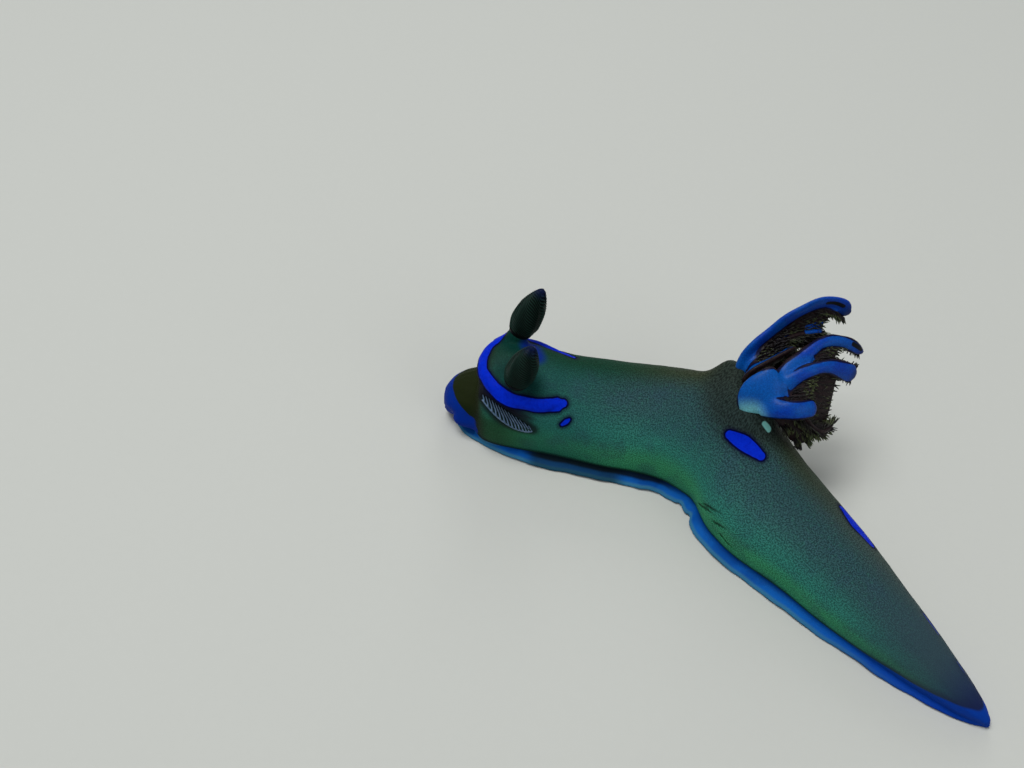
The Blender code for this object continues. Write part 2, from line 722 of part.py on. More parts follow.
def main():
    clear_scene()
    skin, foot, club, gill = (make_material(name) for name in COLOURS)
    finish(boolean(build_snout(), [build_mouth_cutter()], "DIFFERENCE"), "snout", skin)
    for name, start, end in BODY_SEGMENTS:
        segment = build_segment(name, start, end)
        if name == "head":
            boolean(segment, [build_rim()] + [build_sheath(r) for r in RHINOPHORES], "UNION")
            boolean(segment, [build_slot_cutter(side) for side in (-1, 1)], "DIFFERENCE")
        if name == "trunk_middle":
            boolean(segment, [build_seat()], "UNION")
        finish(segment, name, skin)
    for name, start, end in FOOT_SEGMENTS:
        finish(build_foot(name, start, end), name, foot)
    for rhinophore in RHINOPHORES:
        finish(build_club(rhinophore), "rhinophore_" + rhinophore["side"], club)
    for name, side in (("left", 1), ("right", -1)):
        finish(build_tentacle(side), "oral_tentacle_" + name, skin)
    for leaf in LEAVES:
        finish(build_leaf(leaf), leaf["name"], gill)
    finish(build_papilla(), "anal_papilla", skin)


main()
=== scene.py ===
"""Looks for the blue-spotted wrinkle dorid, a sea slug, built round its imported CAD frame.

Shapes are worked out in millimetres, in the frame's own axes, and scaled once to metres. The head
points to -X, the camera side is -Y, and every length or angle below is the life-size animal's.
"""

import math

import bpy
import numpy as np
from bpy.props import FloatProperty, FloatVectorProperty, IntProperty, PointerProperty
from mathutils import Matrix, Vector, kdtree, noise


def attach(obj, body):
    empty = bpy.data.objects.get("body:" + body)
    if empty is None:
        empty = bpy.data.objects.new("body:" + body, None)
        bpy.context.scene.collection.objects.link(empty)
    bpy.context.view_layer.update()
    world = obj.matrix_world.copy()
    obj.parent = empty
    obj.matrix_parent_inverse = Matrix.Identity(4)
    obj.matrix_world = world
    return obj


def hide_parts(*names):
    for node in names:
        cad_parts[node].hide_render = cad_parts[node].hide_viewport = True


bl_info = {
    "name": "Blue-spotted wrinkle dorid",
    "version": (1, 0, 0),
    "blender": (4, 5, 0),
    "location": "3D View > Sidebar > Sea slug",
    "description": "Builds the skin, feelers, gills and stage of a crawling sea slug",
    "category": "Object",
}

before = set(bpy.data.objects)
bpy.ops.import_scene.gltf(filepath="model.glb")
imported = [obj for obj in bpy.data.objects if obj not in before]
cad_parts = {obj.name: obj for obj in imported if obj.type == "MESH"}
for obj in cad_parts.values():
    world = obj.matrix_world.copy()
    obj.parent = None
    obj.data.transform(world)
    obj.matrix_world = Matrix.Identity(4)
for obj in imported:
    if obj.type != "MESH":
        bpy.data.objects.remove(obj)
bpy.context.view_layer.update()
MM = 0.001
# The right and the left of the body, or the two edges of a gill's limb.
SIDES = (-1, 1)

# The line along the sole, and how the body turns and tapers along it, as the solids have them.
BODY_LENGTH = 78.3
SNOUT_TIP = (-29.46, 20.26)
HEAD_HEADING = math.radians(-12.1)
BODY_TURN = math.radians(-46.2)
TURN_START, TURN_END = 23.2, 42.3
TAIL_TURN = math.radians(9.8)
TAIL_TURN_START = 47.0
# Station, half width and height of the body and the snout, then station and half width of the foot.
BODY_STATIONS = (
    (4.8, 5.0, 10.0), (6.5, 5.8, 11.6), (8.5, 6.2, 12.1), (11.0, 6.3, 11.9), (14.0, 6.3, 11.2),
    (17.5, 6.5, 10.6), (21.9, 6.8, 10.5), (33.0, 6.8, 11.3), (43.0, 6.3, 9.6), (55.0, 5.6, 8.5),
    (66.6, 3.6, 6.6), (74.4, 1.9, 3.7), (77.6, 0.7, 1.9),
)
SNOUT_STATIONS = ((0.0, 1.6, 4.0), (0.8, 2.9, 5.3), (2.4, 3.9, 6.5), (4.5, 4.3, 7.2), (7.5, 4.5, 7.4))
FOOT_STATIONS = (
    (2.0, 2.6), (3.4, 4.0), (6.3, 5.4), (11.7, 6.9), (21.9, 7.8), (33.0, 7.7), (43.0, 7.3), (55.0, 6.6),
    (66.6, 4.2), (74.4, 2.3), (78.3, 0.5),
)
# Where the foot's edge is gathered at the body's bend: station, depth and reach.
FOOT_CREASES = ((37.0, 0.35, 0.8), (39.9, 0.60, 0.7))
# How far the near flank swells out behind the bend, and between which stations.
BEND_SWELL, BEND_SWELL_START, BEND_SWELL_END = 1.6, 37.5, 56.0
WIDEST_HEIGHT = 0.42
TRUNK_ROUNDNESS, TAIL_ROUNDNESS = 0.92, 1.2
TAIL_START = 45.0
FLANK_TUCK = 0.13
TUCK_ANGLE = math.radians(30)
FLESH_BOTTOM = 0.5
CAD_FLESH_BOTTOM = 1.2
HUMP_STATION, HUMP_LEFT, HUMP_HEIGHT = 37.5, -1.5, 3.2
HUMP_LENGTH, HUMP_WIDTH = 3.6, 3.6
FOOT_THICKNESS, FOOT_EDGE = 0.9, 0.5
HEAD_ROUNDING, TIP_ROUNDING = 1.6, 1.7
SNOUT_LIP_HEIGHT, SNOUT_TUCK = 3.6, 0.34

# The blue band round the front of the head, on its raised rim: station and angle off the back's middle.
RIM_LINE = ((5.2, 0), (5.5, 20), (6.8, 37), (8.7, 48), (10.6, 51), (12.5, 50), (14.6, 45), (16.1, 39))
FAR_RIM_LINE = RIM_LINE[:3] + ((8.7, 47), (10.6, 46.5), (12.5, 41.5), (14.6, 35), (16.1, 29))
RIM_HALF_WIDTH, RIM_HEIGHT = 0.9, 0.62

# The slot in each side of the head, with its pale ridges.
SLOT_FRONT, SLOT_BACK = 5.8, 12.6
SLOT_PHI_FRONT, SLOT_PHI_BACK = math.radians(52), math.radians(80)
SLOT_DEPTH, SLOT_HALF_HEIGHT, SLOT_BOW = 0.75, 0.85, math.radians(5)
FOLD_REACH, FOLD_DROP, FOLD_CLIMB = 1.2, 0.45, 0.6
FOLD_SLANT, FOLD_SLANT_GAIN = 0.45, 0.65
FOLD_SINK, FOLD_RISE = 0.34, 0.03
# Millimetres round the body for each radian of its angle.
AROUND_MM = 6.0
MOUTH_HEIGHT, MOUTH_HALF_WIDTH, MOUTH_DEPTH, MOUTH_HALF_OPENING = 2.0, 1.25, 0.5, 0.28

TENTACLE_ROOT, TENTACLE_TIP = (5.2, 4.0, 2.7), (1.7, 3.6, 2.6)
TENTACLE_HALF_HEIGHT, TENTACLE_HALF_THICKNESS = 1.15, 0.7

# Rhinophores: the sheath on the head, then the club with its stacked leaves.
SHEATH_BASE, SHEATH_TOP, SHEATH_SINK, SHEATH_FLATNESS = 2.5, 1.3, 1.6, 0.9
RHINOPHORES = (
    {"side": "left", "station": 9.8, "phi": 38, "rise": 0.8, "lean": (0.30, -0.08, 1.0), "length": 7.0},
    {"side": "right", "station": 8.4, "phi": -34, "rise": 1.5, "lean": (0.42, 0.10, 1.0), "length": 7.2},
)
CLUB_PROFILE = (
    (0.0, 1.25), (0.06, 1.45), (0.10, 1.6), (0.32, 1.95),
    (0.58, 1.75), (0.82, 1.15), (0.95, 0.55), (1.0, 0.1),
)
CLUB_FLATNESS = 0.82
CLUB_GAP, CLUB_ROOT = 0.3, 0.45
CLUB_SIDES, CLUB_ROWS = 88, 260
CLUB_LEAF_DEPTH, CLUB_LEAF_TILT = 0.36, 0.13

# The gills: the seat on the swelling, then each leaf's limbs, with routes from the seat's centre.
GILL_STATION, GILL_PHI = 37.6, math.radians(-20)
GILL_SEAT_RISE, GILL_SEAT_LEAN = 1.2, (0.32, 0.14, 0.94)
GILL_SEAT_TOP, GILL_SEAT_FOOT, GILL_SEAT_DEPTH, GILL_SEAT_FLATNESS = 3.5, 4.4, 3.0, 0.92
# The shoulder that carries the far leaf, then the broad rise before it: place from the seat, height, radius.
SHOULDER_WAY = (-0.12, 0.30, 0.95)
SHOULDERS = (((-1.9, 4.7, -0.3), 3.0, 2.5), ((-6.0, 4.0, -1.5), 0.6, 6.0))


def limb(route, width, thickness, fringe=(), **more):
    """A limb's route from the seat's centre, its half widths and half thicknesses from root to tip, and
    the sides where filaments grow. It may have an outer way of its own, a paint below nothing, which
    takes blue off its face, and a blue strip: from where, and the strip's edge at root and tip."""
    return {"route": route, "width": width, "thickness": thickness, "fringe": fringe, **more}


LEAVES = (
    {
        "name": "gill_leaf_left_front",
        "near": 1,
        "outer": (-0.10, -0.75, 0.65),
        "limbs": (
            limb(((-0.4, -2.4, -0.8), (-0.6, -2.1, 2.2), (0.8, -1.9, 3.1), (2.2, -1.5, 3.2)),
                 (1.9, 2.5, 2.2), (0.8, 0.7)),
            limb(((1.2, -1.6, 2.4), (4.4, 1.1, 4.3), (7.0, 2.9, 5.5), (9.7, 3.6, 5.0), (12.5, 3.7, 3.1)),
                 (1.6, 0.75, 0.75), (0.8, 0.4), (1,)),
            limb(((1.4, -1.7, 2.6), (4.6, -0.5, 4.1), (7.8, 0.5, 4.1), (11.4, 1.2, 1.9)),
                 (1.3, 0.8, 1.4), (0.8, 0.4), SIDES),
            limb(((1.8, -1.5, 2.9), (4.0, 0.5, 4.1), (5.8, 1.1, 4.5)), (1.3, 1.5, 1.0), (0.7, 0.5)),
            # This hanging limb and the last one show no blue, only dark plum: partly the leaf's own dark
            # inner side, partly a painted shadow where the gills' shade falls.
            limb(((1.0, -2.6, 0.8), (3.2, -3.4, -0.9), (5.0, -3.7, -2.9), (5.6, -3.7, -4.4)),
                 (0.9, 1.3, 0.8), (0.5, 0.4), SIDES, paint=-1.1),
            limb(((-0.5, -2.5, 1.2), (1.9, -4.0, 1.9), (3.9, -4.2, 2.0), (6.0, -3.6, 1.7)),
                 (1.6, 1.15, 1.1), (0.8, 0.4), (-1,)),
            limb(((0.4, -2.3, 1.6), (3.0, -3.1, 0.7), (5.0, -3.7, -1.3), (6.8, -3.5, -2.8),
                  (9.2, -1.6, -3.4)), (1.0, 1.5, 1.0), (0.5, 0.4), SIDES,
                 paint=-1.1, outer=(0.10, -0.70, -0.60)),
        ),
        "webs": (
            (1, 0.80, 2, 0.80), (2, 0.58, 5, 0.95), (5, 0.9, 6, 0.6), (2, 0.84, 6, 0.95), (6, 0.8, 4, 0.95),
        ),
    },
    {
        "name": "gill_leaf_right_front",
        "near": -1,
        "outer": (-0.30, 0.90, 0.30),
        "limbs": (
            limb(((-1.5, 2.8, 0.0), (-0.8, 4.1, 2.3), (2.2, 5.9, 4.5), (5.4, 7.1, 6.5), (8.3, 7.7, 7.2),
                  (11.0, 7.3, 5.9)), (1.2, 1.7, 1.5), (0.6, 0.4), (-1,), strip=(0.0, 0.15, -0.7)),
            limb(((-0.2, 4.0, 1.4), (2.4, 5.1, 2.4), (5.4, 6.0, 3.2), (8.4, 6.5, 3.4)),
                 (1.0, 1.5, 0.9), (0.7, 0.4), SIDES, paint=-0.5, strip=(0.72, 0.45, 0.3)),
            limb(((-1.0, 1.0, 0.4), (-0.8, 1.2, 2.3), (1.8, 2.4, 3.1), (4.6, 3.6, 4.0)),
                 (0.9, 1.1, 0.8), (0.5, 0.4), paint=-0.5),
        ),
        "webs": ((0, 0.90, 1, 1.0), (0, 0.5, 2, 0.95), (1, 0.6, 2, 1.0)),
    },
    {
        "name": "gill_leaf_right_rear",
        "near": -1,
        "outer": (0.10, 0.90, -0.30),
        "limbs": (
            limb(((1.8, 2.5, -0.6), (3.3, 3.7, 0.6), (6.2, 5.5, 0.1), (9.1, 7.0, 0.0)),
                 (1.1, 1.2, 0.8), (0.7, 0.4), SIDES),
        ),
    },
    {
        "name": "gill_leaf_rear",
        "near": 1,
        "outer": (0.30, 0.00, -0.90),
        "limbs": (
            limb(((2.9, 0.3, -0.6), (4.1, 0.2, 0.6), (6.5, 1.1, 0.0), (9.0, 2.3, -0.5)),
                 (1.1, 1.3, 0.8), (0.7, 0.4), SIDES),
        ),
    },
)
PAPILLA_HEIGHT = 1.7
PAPILLA_PROFILE = ((0, 0.75), (0.4, 0.65), (0.8, 0.52), (1.0, 0.5), (1.05, 0.36))
WEB_HALF_THICKNESS, WEB_SAG = 0.2, 1.1
# Filaments: their spacing along a limb, their rows from its edge to its inner side, and the share of
# them that turns to the front on a limb with no blue.
FILAMENT_SPACING, FILAMENT_ROWS, FILAMENTS_TURNED = 0.15, (0.2, 0.6, 1.0), 0.6
# Where the near leaf pales at its foot, from the seat's centre.
PALE_PLACE = (-1.1, -3.0, -0.6)
# Short black marks near the tips: leaf, limb, stretch of the limb, how far across, and which face.
DASHES = (
    ("gill_leaf_left_front", 1, 0.84, 0.95, -0.35, 1),
    ("gill_leaf_right_front", 0, 0.78, 0.90, 0.5, -1),
)

# Blue spots on the flesh: points as station and angle off the back's middle, left positive, then half width.
SPOTS = (
    (((38.9, 20.4), (40.6, 14.0), (42.8, 6.2)), 0.86),
    (((16.3, 63.5), (17.1, 55.5)), 0.3),
    (((52.2, -47.0), (54.6, -44.0), (57.2, -47.0)), 0.92),
    (((66.6, -42.0), (69.0, -38.0)), 0.28),
    (((72.2, -30.0), (73.3, -30.0)), 0.24),
    (((15.8, -62.0), (16.9, -57.0)), 0.32),
    (((31.0, -70.0), (33.2, -64.0)), 0.5),
)

# A small pale blue mark on the gills' seat, from its centre.
GLEAM = ((0.5, -3.3, -1.3), (1.3, -3.6, -2.2))

# Thin creases where the near flank is gathered at the bend, as lines on the finished skin.
FLANK_CREASES = (
    ((1.3, 2.6, 3.1), (1.5, 1.7, 3.9), (2.0, 0.2, 5.0), (2.7, -0.9, 5.5), (3.3, -1.6, 5.8)),
    ((1.4, 2.1, 4.2), (2.1, 0.2, 5.6), (3.2, -1.1, 6.2), (3.9, -1.8, 6.6)),
    ((2.3, -0.6, 4.2), (2.9, -1.4, 4.6), (3.7, -2.5, 5.1), (4.7, -3.5, 5.5)),
    ((3.0, -1.6, 3.6), (3.5, -2.4, 3.5), (4.1, -3.2, 3.2), (5.0, -4.2, 3.2), (5.7, -4.8, 2.9)),
)
CREASE_DEPTH, CREASE_REACH = 0.18, 0.32

# The dusky blue patch behind the near rhinophore.
DUSKY_PATCH = ((10.6, -24.0), (11.6, -7.0))

# Skin made as one closed surface from small cells, then eased by steps inwards and back out.
SKIN_CELL, SKIN_EASING = 0.17, 10
GILL_CELL, GILL_EASING = 0.12, 8
EASE_STEP, EASE_BACK = 0.5, -0.52

# Wet flesh bends light a little more than water does, and lets it wander about a millimetre, red least.
FLESH_IOR = 1.38
SCATTER_RADIUS = (0.0006, 0.0009, 0.0012)

# A distance, in millimetres, beyond every marking.
FAR_OFF = 1e3

# The photograph's camera: its place, its look down, and its lens.
CAMERA_PLACE = (-20.83, -74.71, 110.27)
CAMERA_DOWN = math.radians(48)
CAMERA_LENS, CAMERA_SENSOR = 38.6, 36.0


def linear(code):
    """A colour written as six hex digits, as Blender's linear numbers."""
    parts = [int(code[i:i + 2], 16) / 255 for i in (0, 2, 4)]
    return (*[c / 12.92 if c <= 0.04045 else ((c + 0.055) / 1.055) ** 2.4 for c in parts], 1.0)


def fade(value, start, end):
    """Nothing at start and all at end, which may be the smaller of the two, with no edge between."""
    t = np.clip((value - start) / (end - start), 0.0, 1.0)
    return t * t * (3 - 2 * t)


def read_table(rows, column, at):
    """A smooth curve through one column of a table of stations, with no overshoot."""
    x = np.array([row[0] for row in rows], float)
    y = np.array([row[column] for row in rows], float)
    steps = np.diff(y) / np.diff(x)
    before, after = steps[:-1], steps[1:]
    rising = before * after > 0
    inner = np.where(rising, 2 * before * after / np.where(rising, before + after, 1.0), 0.0)
    slopes = np.concatenate([steps[:1], inner, steps[-1:]])
    at = np.clip(at, x[0], x[-1])
    i = np.clip(np.searchsorted(x, at, side="right") - 1, 0, len(x) - 2)
    span = x[i + 1] - x[i]
    rise = y[i + 1] - y[i]
    t = (at - x[i]) / span
    bend = (slopes[i] * span - rise) * (1 - t) - (slopes[i + 1] * span - rise) * t
    return y[i] + rise * t + t * (1 - t) * bend


def heading_at(s):
    turned = HEAD_HEADING + BODY_TURN * fade(s, TURN_START, TURN_END)
    return turned + TAIL_TURN * fade(s, TAIL_TURN_START, BODY_LENGTH)


def walk_centreline(step=0.1):
    along = np.arange(0.0, BODY_LENGTH + step, step)
    middle = heading_at(along[:-1] + step / 2)
    x = SNOUT_TIP[0] + np.concatenate([[0.0], np.cumsum(np.cos(middle) * step)])
    y = SNOUT_TIP[1] + np.concatenate([[0.0], np.cumsum(np.sin(middle) * step)])
    return along, x, y


ALONG, LINE_X, LINE_Y = walk_centreline()


def place(s, left, z):
    """Points at distance s along the body, left of its middle line by left, at height z."""
    s, left, z = np.broadcast_arrays(np.asarray(s, float), left, z)
    angle = heading_at(s)
    x = np.interp(s, ALONG, LINE_X) + np.sin(angle) * left
    y = np.interp(s, ALONG, LINE_Y) - np.cos(angle) * left
    return np.stack([x, y, z], axis=-1)


def unit(vectors):
    vectors = np.asarray(vectors, float)
    return vectors / np.linalg.norm(vectors, axis=-1, keepdims=True)


def dot(first, second):
    return np.einsum("ij,ij->i", first, second)


def arch_point(phi, half_width, height, roundness, bottom):
    """The flesh's outline: phi is 0 at the back's middle and grows to the left."""
    widest = np.maximum(WIDEST_HEIGHT * height, CAD_FLESH_BOTTOM + 0.2)
    t = np.clip((np.abs(phi) - math.pi / 2) / TUCK_ANGLE, 0, 1)
    over = np.abs(phi) <= math.pi / 2
    top = widest + (height - widest) * np.maximum(np.cos(phi), 1e-9) ** roundness
    left = np.where(over, half_width * np.sin(phi), np.sign(phi) * half_width * (1 - FLANK_TUCK * t * t))
    return left, np.where(over, top, widest - (widest - bottom) * t)


def body_section(s):
    tail = fade(s, TAIL_START, BODY_LENGTH)
    roundness = TRUNK_ROUNDNESS + (TAIL_ROUNDNESS - TRUNK_ROUNDNESS) * tail
    return read_table(BODY_STATIONS, 1, s), read_table(BODY_STATIONS, 2, s), roundness


def hump(s, left):
    spread = ((s - HUMP_STATION) / HUMP_LENGTH) ** 2 + ((left - HUMP_LEFT) / HUMP_WIDTH) ** 2
    return HUMP_HEIGHT * np.exp(-0.5 * spread)


def body_point(s, phi, bottom=CAD_FLESH_BOTTOM):
    half_width, height, roundness = body_section(s)
    left, z = arch_point(phi, half_width, height, roundness, bottom)
    return place(s, left, z + hump(s, left) * np.maximum(z - CAD_FLESH_BOTTOM, 0) / height)


def body_normal(s, phi):
    step = 0.02
    along = body_point(s + step, phi) - body_point(s - step, phi)
    across = body_point(s, phi + step) - body_point(s, phi - step)
    normal = unit(np.cross(along, across))
    outwards = body_point(s, phi) - place(s, 0, WIDEST_HEIGHT * body_section(s)[1])
    return normal if normal @ outwards > 0 else -normal


class Shell:
    """Closed pieces of surface, gathered as points and faces before one mesh is made of them."""

    def __init__(self):
        self.points, self.faces, self.count = [], [], 0

    def add(self, points, faces):
        self.points.append(np.asarray(points, float))
        self.faces += [tuple(corner + self.count for corner in face) for face in faces]
        self.count += len(points)

    def loft(self, rings, tip=None):
        """A closed skin through rings of points, flat at its ends, or ending in the point tip."""
        rings = np.asarray(rings, float)
        rows, sides = rings.shape[:2]
        around = [(k, (k + 1) % sides) for k in range(sides)]
        faces = [
            (i + k, i + after, i + sides + after, i + sides + k)
            for i in range(0, (rows - 1) * sides, sides)
            for k, after in around
        ]
        points = rings.reshape(-1, 3)
        last = (rows - 1) * sides
        faces.append(tuple(range(sides - 1, -1, -1)))
        if tip is None:
            faces.append(tuple(range(last, last + sides)))
        else:
            points = np.vstack([points, tip])
            faces += [(last + k, last + after, last + sides) for k, after in around]
        self.add(points, faces)

    def mesh(self, name):
        mesh = bpy.data.meshes.new(name)
        mesh.from_pydata(np.concatenate(self.points).tolist(), [], self.faces)
        mesh.update()
        return mesh


def ways_along(centres):
    """The way a line runs at each of its points, from its neighbours."""
    centres = np.asarray(centres)
    ends = centres[[0, *range(len(centres) - 1)]], centres[[*range(1, len(centres)), -1]]
    return unit(ends[1] - ends[0])


def oval(centre, across, up, half_across, half_up, sides):
    turns = np.linspace(0, 2 * math.pi, sides, endpoint=False)[:, None]
    return centre + across * half_across * np.cos(turns) + up * half_up * np.sin(turns)


def read_points(mesh):
    points = np.empty(len(mesh.vertices) * 3)
    mesh.vertices.foreach_get("co", points)
    return points.reshape(-1, 3)


def read_normals(mesh):
    normals = np.empty(len(mesh.vertices) * 3, np.float32)
    mesh.vertex_normals.foreach_get("vector", normals)
    return normals.reshape(-1, 3).astype(float)


def write_points(mesh, points):
    mesh.vertices.foreach_set("co", points.astype(np.float32).ravel())
    mesh.update()


class Edges:
    """A mesh's edges, for sharing numbers between the points that they join."""

    def __init__(self, mesh):
        ends = np.empty(len(mesh.edges) * 2, np.int64)
        mesh.edges.foreach_get("vertices", ends)
        self.first, self.second = ends.reshape(-1, 2).T
        self.count = np.bincount(ends, minlength=len(mesh.vertices))

    def mean(self, values):
        """The mean of a number over each point's neighbours."""
        total = np.bincount(self.first, values[self.second], len(values))
        return (total + np.bincount(self.second, values[self.first], len(values))) / self.count


def eased(mesh, turns, share=None):
    """Smooths a mesh without shrinking it, or, with a share from 0 to 1 for each point, melts it there."""
    edges = Edges(mesh)
    points = read_points(mesh)
    for turn in range(turns):
        step = EASE_STEP if turn % 2 == 0 else EASE_BACK
        mean = np.stack([edges.mean(column) for column in points.T], axis=1)
        points = points + (mean - points) * (step if share is None else EASE_STEP * share[:, None])
    write_points(mesh, points)


def spread(mesh, values, turns):
    """Evens out numbers kept at a mesh's points, by sharing them along its edges."""
    edges = Edges(mesh)
    for _ in range(turns):
        values = 0.5 * values + 0.5 * edges.mean(values)
    return values


def linked(name, data):
    made = bpy.data.objects.new(name, data)
    bpy.context.scene.collection.objects.link(made)
    return made


def fused(shell, name, cell, easing):
    """One surface over every piece of the shell, from cells of one size, with its steps eased away."""
    made = linked(name, shell.mesh(name))
    remesh = made.modifiers.new("fuse", "REMESH")
    remesh.mode = "VOXEL"
    remesh.voxel_size = cell
    remesh.adaptivity = 0.0
    evaluated = made.evaluated_get(bpy.context.evaluated_depsgraph_get())
    mesh = bpy.data.meshes.new_from_object(evaluated)
    bpy.data.objects.remove(made)
    eased(mesh, easing)
    return mesh


def store(mesh, **fields):
    """Keeps one number, or one vector, for each point of a mesh under each name."""
    for name, values in fields.items():
        values = np.asarray(values, np.float32)
        kind, key = ("FLOAT", "value") if values.ndim == 1 else ("FLOAT_VECTOR", "vector")
        mesh.attributes.new(name, kind, "POINT").data.foreach_set(key, values.ravel())


def line_distance(points, line):
    """Distance from each point to a broken line, and how far along it from 0 to 1 the nearest place is."""
    line = np.asarray(line, float)
    least = np.full(len(points), np.inf)
    along = np.zeros(len(points))
    for i, (a, b) in enumerate(zip(line, line[1:])):
        t = np.clip((points - a) @ (b - a) / max((b - a) @ (b - a), 1e-12), 0, 1)
        apart = np.linalg.norm(points - a - t[:, None] * (b - a), axis=1)
        closer = apart < least
        least = np.where(closer, apart, least)
        along = np.where(closer, (i + t) / (len(line) - 1), along)
    return least, along


def nearest(places, points):
    """The number of the place nearest to each point."""
    tree = kdtree.KDTree(len(places))
    for i, spot in enumerate(places):
        tree.insert(spot, i)
    tree.balance()
    return np.array([tree.find(point)[1] for point in points])


def body_coordinates(points):
    """Station, distance left, and angle off the back's middle, for points on or near the body."""
    index = nearest(np.stack([LINE_X, LINE_Y, 0 * ALONG], axis=1), points * (1, 1, 0))
    angle = heading_at(ALONG[index])
    dx, dy = points[:, 0] - LINE_X[index], points[:, 1] - LINE_Y[index]
    s = ALONG[index] + dx * np.cos(angle) + dy * np.sin(angle)
    left = dx * np.sin(angle) - dy * np.cos(angle)
    half_width, height, _ = body_section(np.clip(s, BODY_STATIONS[0][0], BODY_LENGTH))
    widest = WIDEST_HEIGHT * height
    over = np.arctan2(np.abs(left) / half_width, np.maximum(points[:, 2] - widest, 1e-6) / (height - widest))
    under = math.pi / 2 + TUCK_ANGLE * (widest - points[:, 2]) / (widest - CAD_FLESH_BOTTOM)
    return s, left, np.sign(left) * np.where(points[:, 2] > widest, over, under)


def rim_place(t):
    """Station and angle of the head's band, for t from -1 at its right end to 1 at its left."""
    line = RIM_LINE if t > 0 else FAR_RIM_LINE
    knots = [(k, *point) for k, point in enumerate(line)]
    along = np.abs(t) * (len(line) - 1)
    return float(read_table(knots, 1, along)), float(np.sign(t) * np.radians(read_table(knots, 2, along)))


def rim_line():
    """The head's band as a broken line, from its right end over the front to its left."""
    return [body_point(*rim_place(t)) for t in np.linspace(-1, 1, 61)]


def slot_place(t, side):
    s = SLOT_FRONT + (SLOT_BACK - SLOT_FRONT) * t
    return s, side * (SLOT_PHI_FRONT + (SLOT_PHI_BACK - SLOT_PHI_FRONT) * t + SLOT_BOW * np.sin(math.pi * t))


def slot_swell(t):
    return 0.18 + 0.82 * np.sin(math.pi * np.clip(t, 0, 1)) ** 0.7


def sheath_axis(rhinophore):
    return unit(rhinophore["lean"])


def sheath_top(rhinophore):
    root = body_point(rhinophore["station"], math.radians(rhinophore["phi"]))
    return root + sheath_axis(rhinophore) * rhinophore["rise"]


def frame_across(axis, heading=HEAD_HEADING):
    """Two directions across an axis: the first points along the animal's length."""
    forward = np.array((math.cos(heading), math.sin(heading), 0.0))
    first = unit(forward - axis * (forward @ axis))
    return first, np.cross(axis, first)


def gill_seat():
    normal = unit(GILL_SEAT_LEAN)
    return body_point(GILL_STATION, GILL_PHI) + normal * GILL_SEAT_RISE, normal


def add_body(shell):
    phi = np.linspace(-math.pi / 2 - TUCK_ANGLE, math.pi / 2 + TUCK_ANGLE, 81)
    first, last = BODY_STATIONS[0][0], BODY_LENGTH
    rings = []
    for s in np.linspace(first, last, 220):
        front = max(1 - (s - first) / HEAD_ROUNDING, 0)
        back = max((s - last + TIP_ROUNDING) / TIP_ROUNDING, 0)
        round_off = math.sqrt(1 - 0.3 * front * front) * math.sqrt(1.02 - back * back)
        ring = body_point(s, phi, FLESH_BOTTOM)
        middle = place(s, 0, FLESH_BOTTOM)
        rings.append(middle + (ring - middle) * round_off)
    shell.loft(rings)


def add_snout(shell):
    phi = np.linspace(-math.pi / 2 - TUCK_ANGLE, math.pi / 2 + TUCK_ANGLE, 61)
    rings = []
    for s in np.linspace(0, SNOUT_STATIONS[-1][0], 40):
        half_width, height = (read_table(SNOUT_STATIONS, column, s) for column in (1, 2))
        left, z = arch_point(phi, half_width, height, 1.0, CAD_FLESH_BOTTOM)
        under = np.clip((z - CAD_FLESH_BOTTOM) / (SNOUT_LIP_HEIGHT - CAD_FLESH_BOTTOM), 0, 1)
        rings.append(place(s, left * (1 - SNOUT_TUCK * (1 - under) ** 0.5), z))
    shell.loft(rings)


def foot_half(s):
    """Half the foot's width, with the long soft waves of its edge."""
    wave = 0.10 * np.sin(s * 0.45 + 2.2) + 0.06 * np.sin(s * 0.95 + 0.6) + 0.03 * np.sin(s * 2.1)
    for station, depth, reach in FOOT_CREASES:
        wave = wave - depth * np.exp(-((s - station) / reach) ** 2)
    wave = wave * fade(s, 3, 7) * fade(s, BODY_LENGTH, BODY_LENGTH - 8)
    return read_table(FOOT_STATIONS, 1, s) + wave - 0.1


def add_foot(shell):
    first, last = FOOT_STATIONS[0][0], FOOT_STATIONS[-1][0]
    rings = []
    for s in np.linspace(first, last, 330):
        end = max((s - last + TIP_ROUNDING) / TIP_ROUNDING, 0)
        half = float(foot_half(s)) * math.sqrt(1.03 - end * end)
        flesh = max(half - 1.4, 0.5 * half)
        lift = 0.08 * (1 + math.sin(s * 0.7)) * float(fade(s, 4, 8) * fade(s, BODY_LENGTH, BODY_LENGTH - 10))
        profile = [(0.0, 0.0), (0.6 * half, 0.0), (half - 0.3, 0.3 * lift), (half - 0.08, 0.12 + lift)]
        profile += [(half, 0.5 * FOOT_EDGE + lift), (half - 0.08, FOOT_EDGE - 0.08 + lift)]
        profile += [(half - 0.3, FOOT_EDGE + lift), (flesh, FOOT_THICKNESS), (0.5 * flesh, FOOT_THICKNESS)]
        points = profile + [(0.0, FOOT_THICKNESS)] + [(-left, z) for left, z in profile[:0:-1]]
        left, z = np.array(points).T
        rings.append(place(s, left, z))
    shell.loft(rings)


def add_rim(shell):
    count = 90
    places = [rim_place(t) for t in np.linspace(-1, 1, count)]
    centres = [body_point(s, phi) for s, phi in places]
    rings = []
    for i, way in enumerate(ways_along(centres)):
        outward = body_normal(*places[i])
        end = 0.12 + 0.88 * float(fade(i, 0, 24) * fade(i, count - 1, count - 10))
        wide, high = RIM_HALF_WIDTH * end, RIM_HEIGHT * end
        rings.append(oval(centres[i], unit(np.cross(way, outward)), outward, wide, high, 20))
    shell.loft(rings)


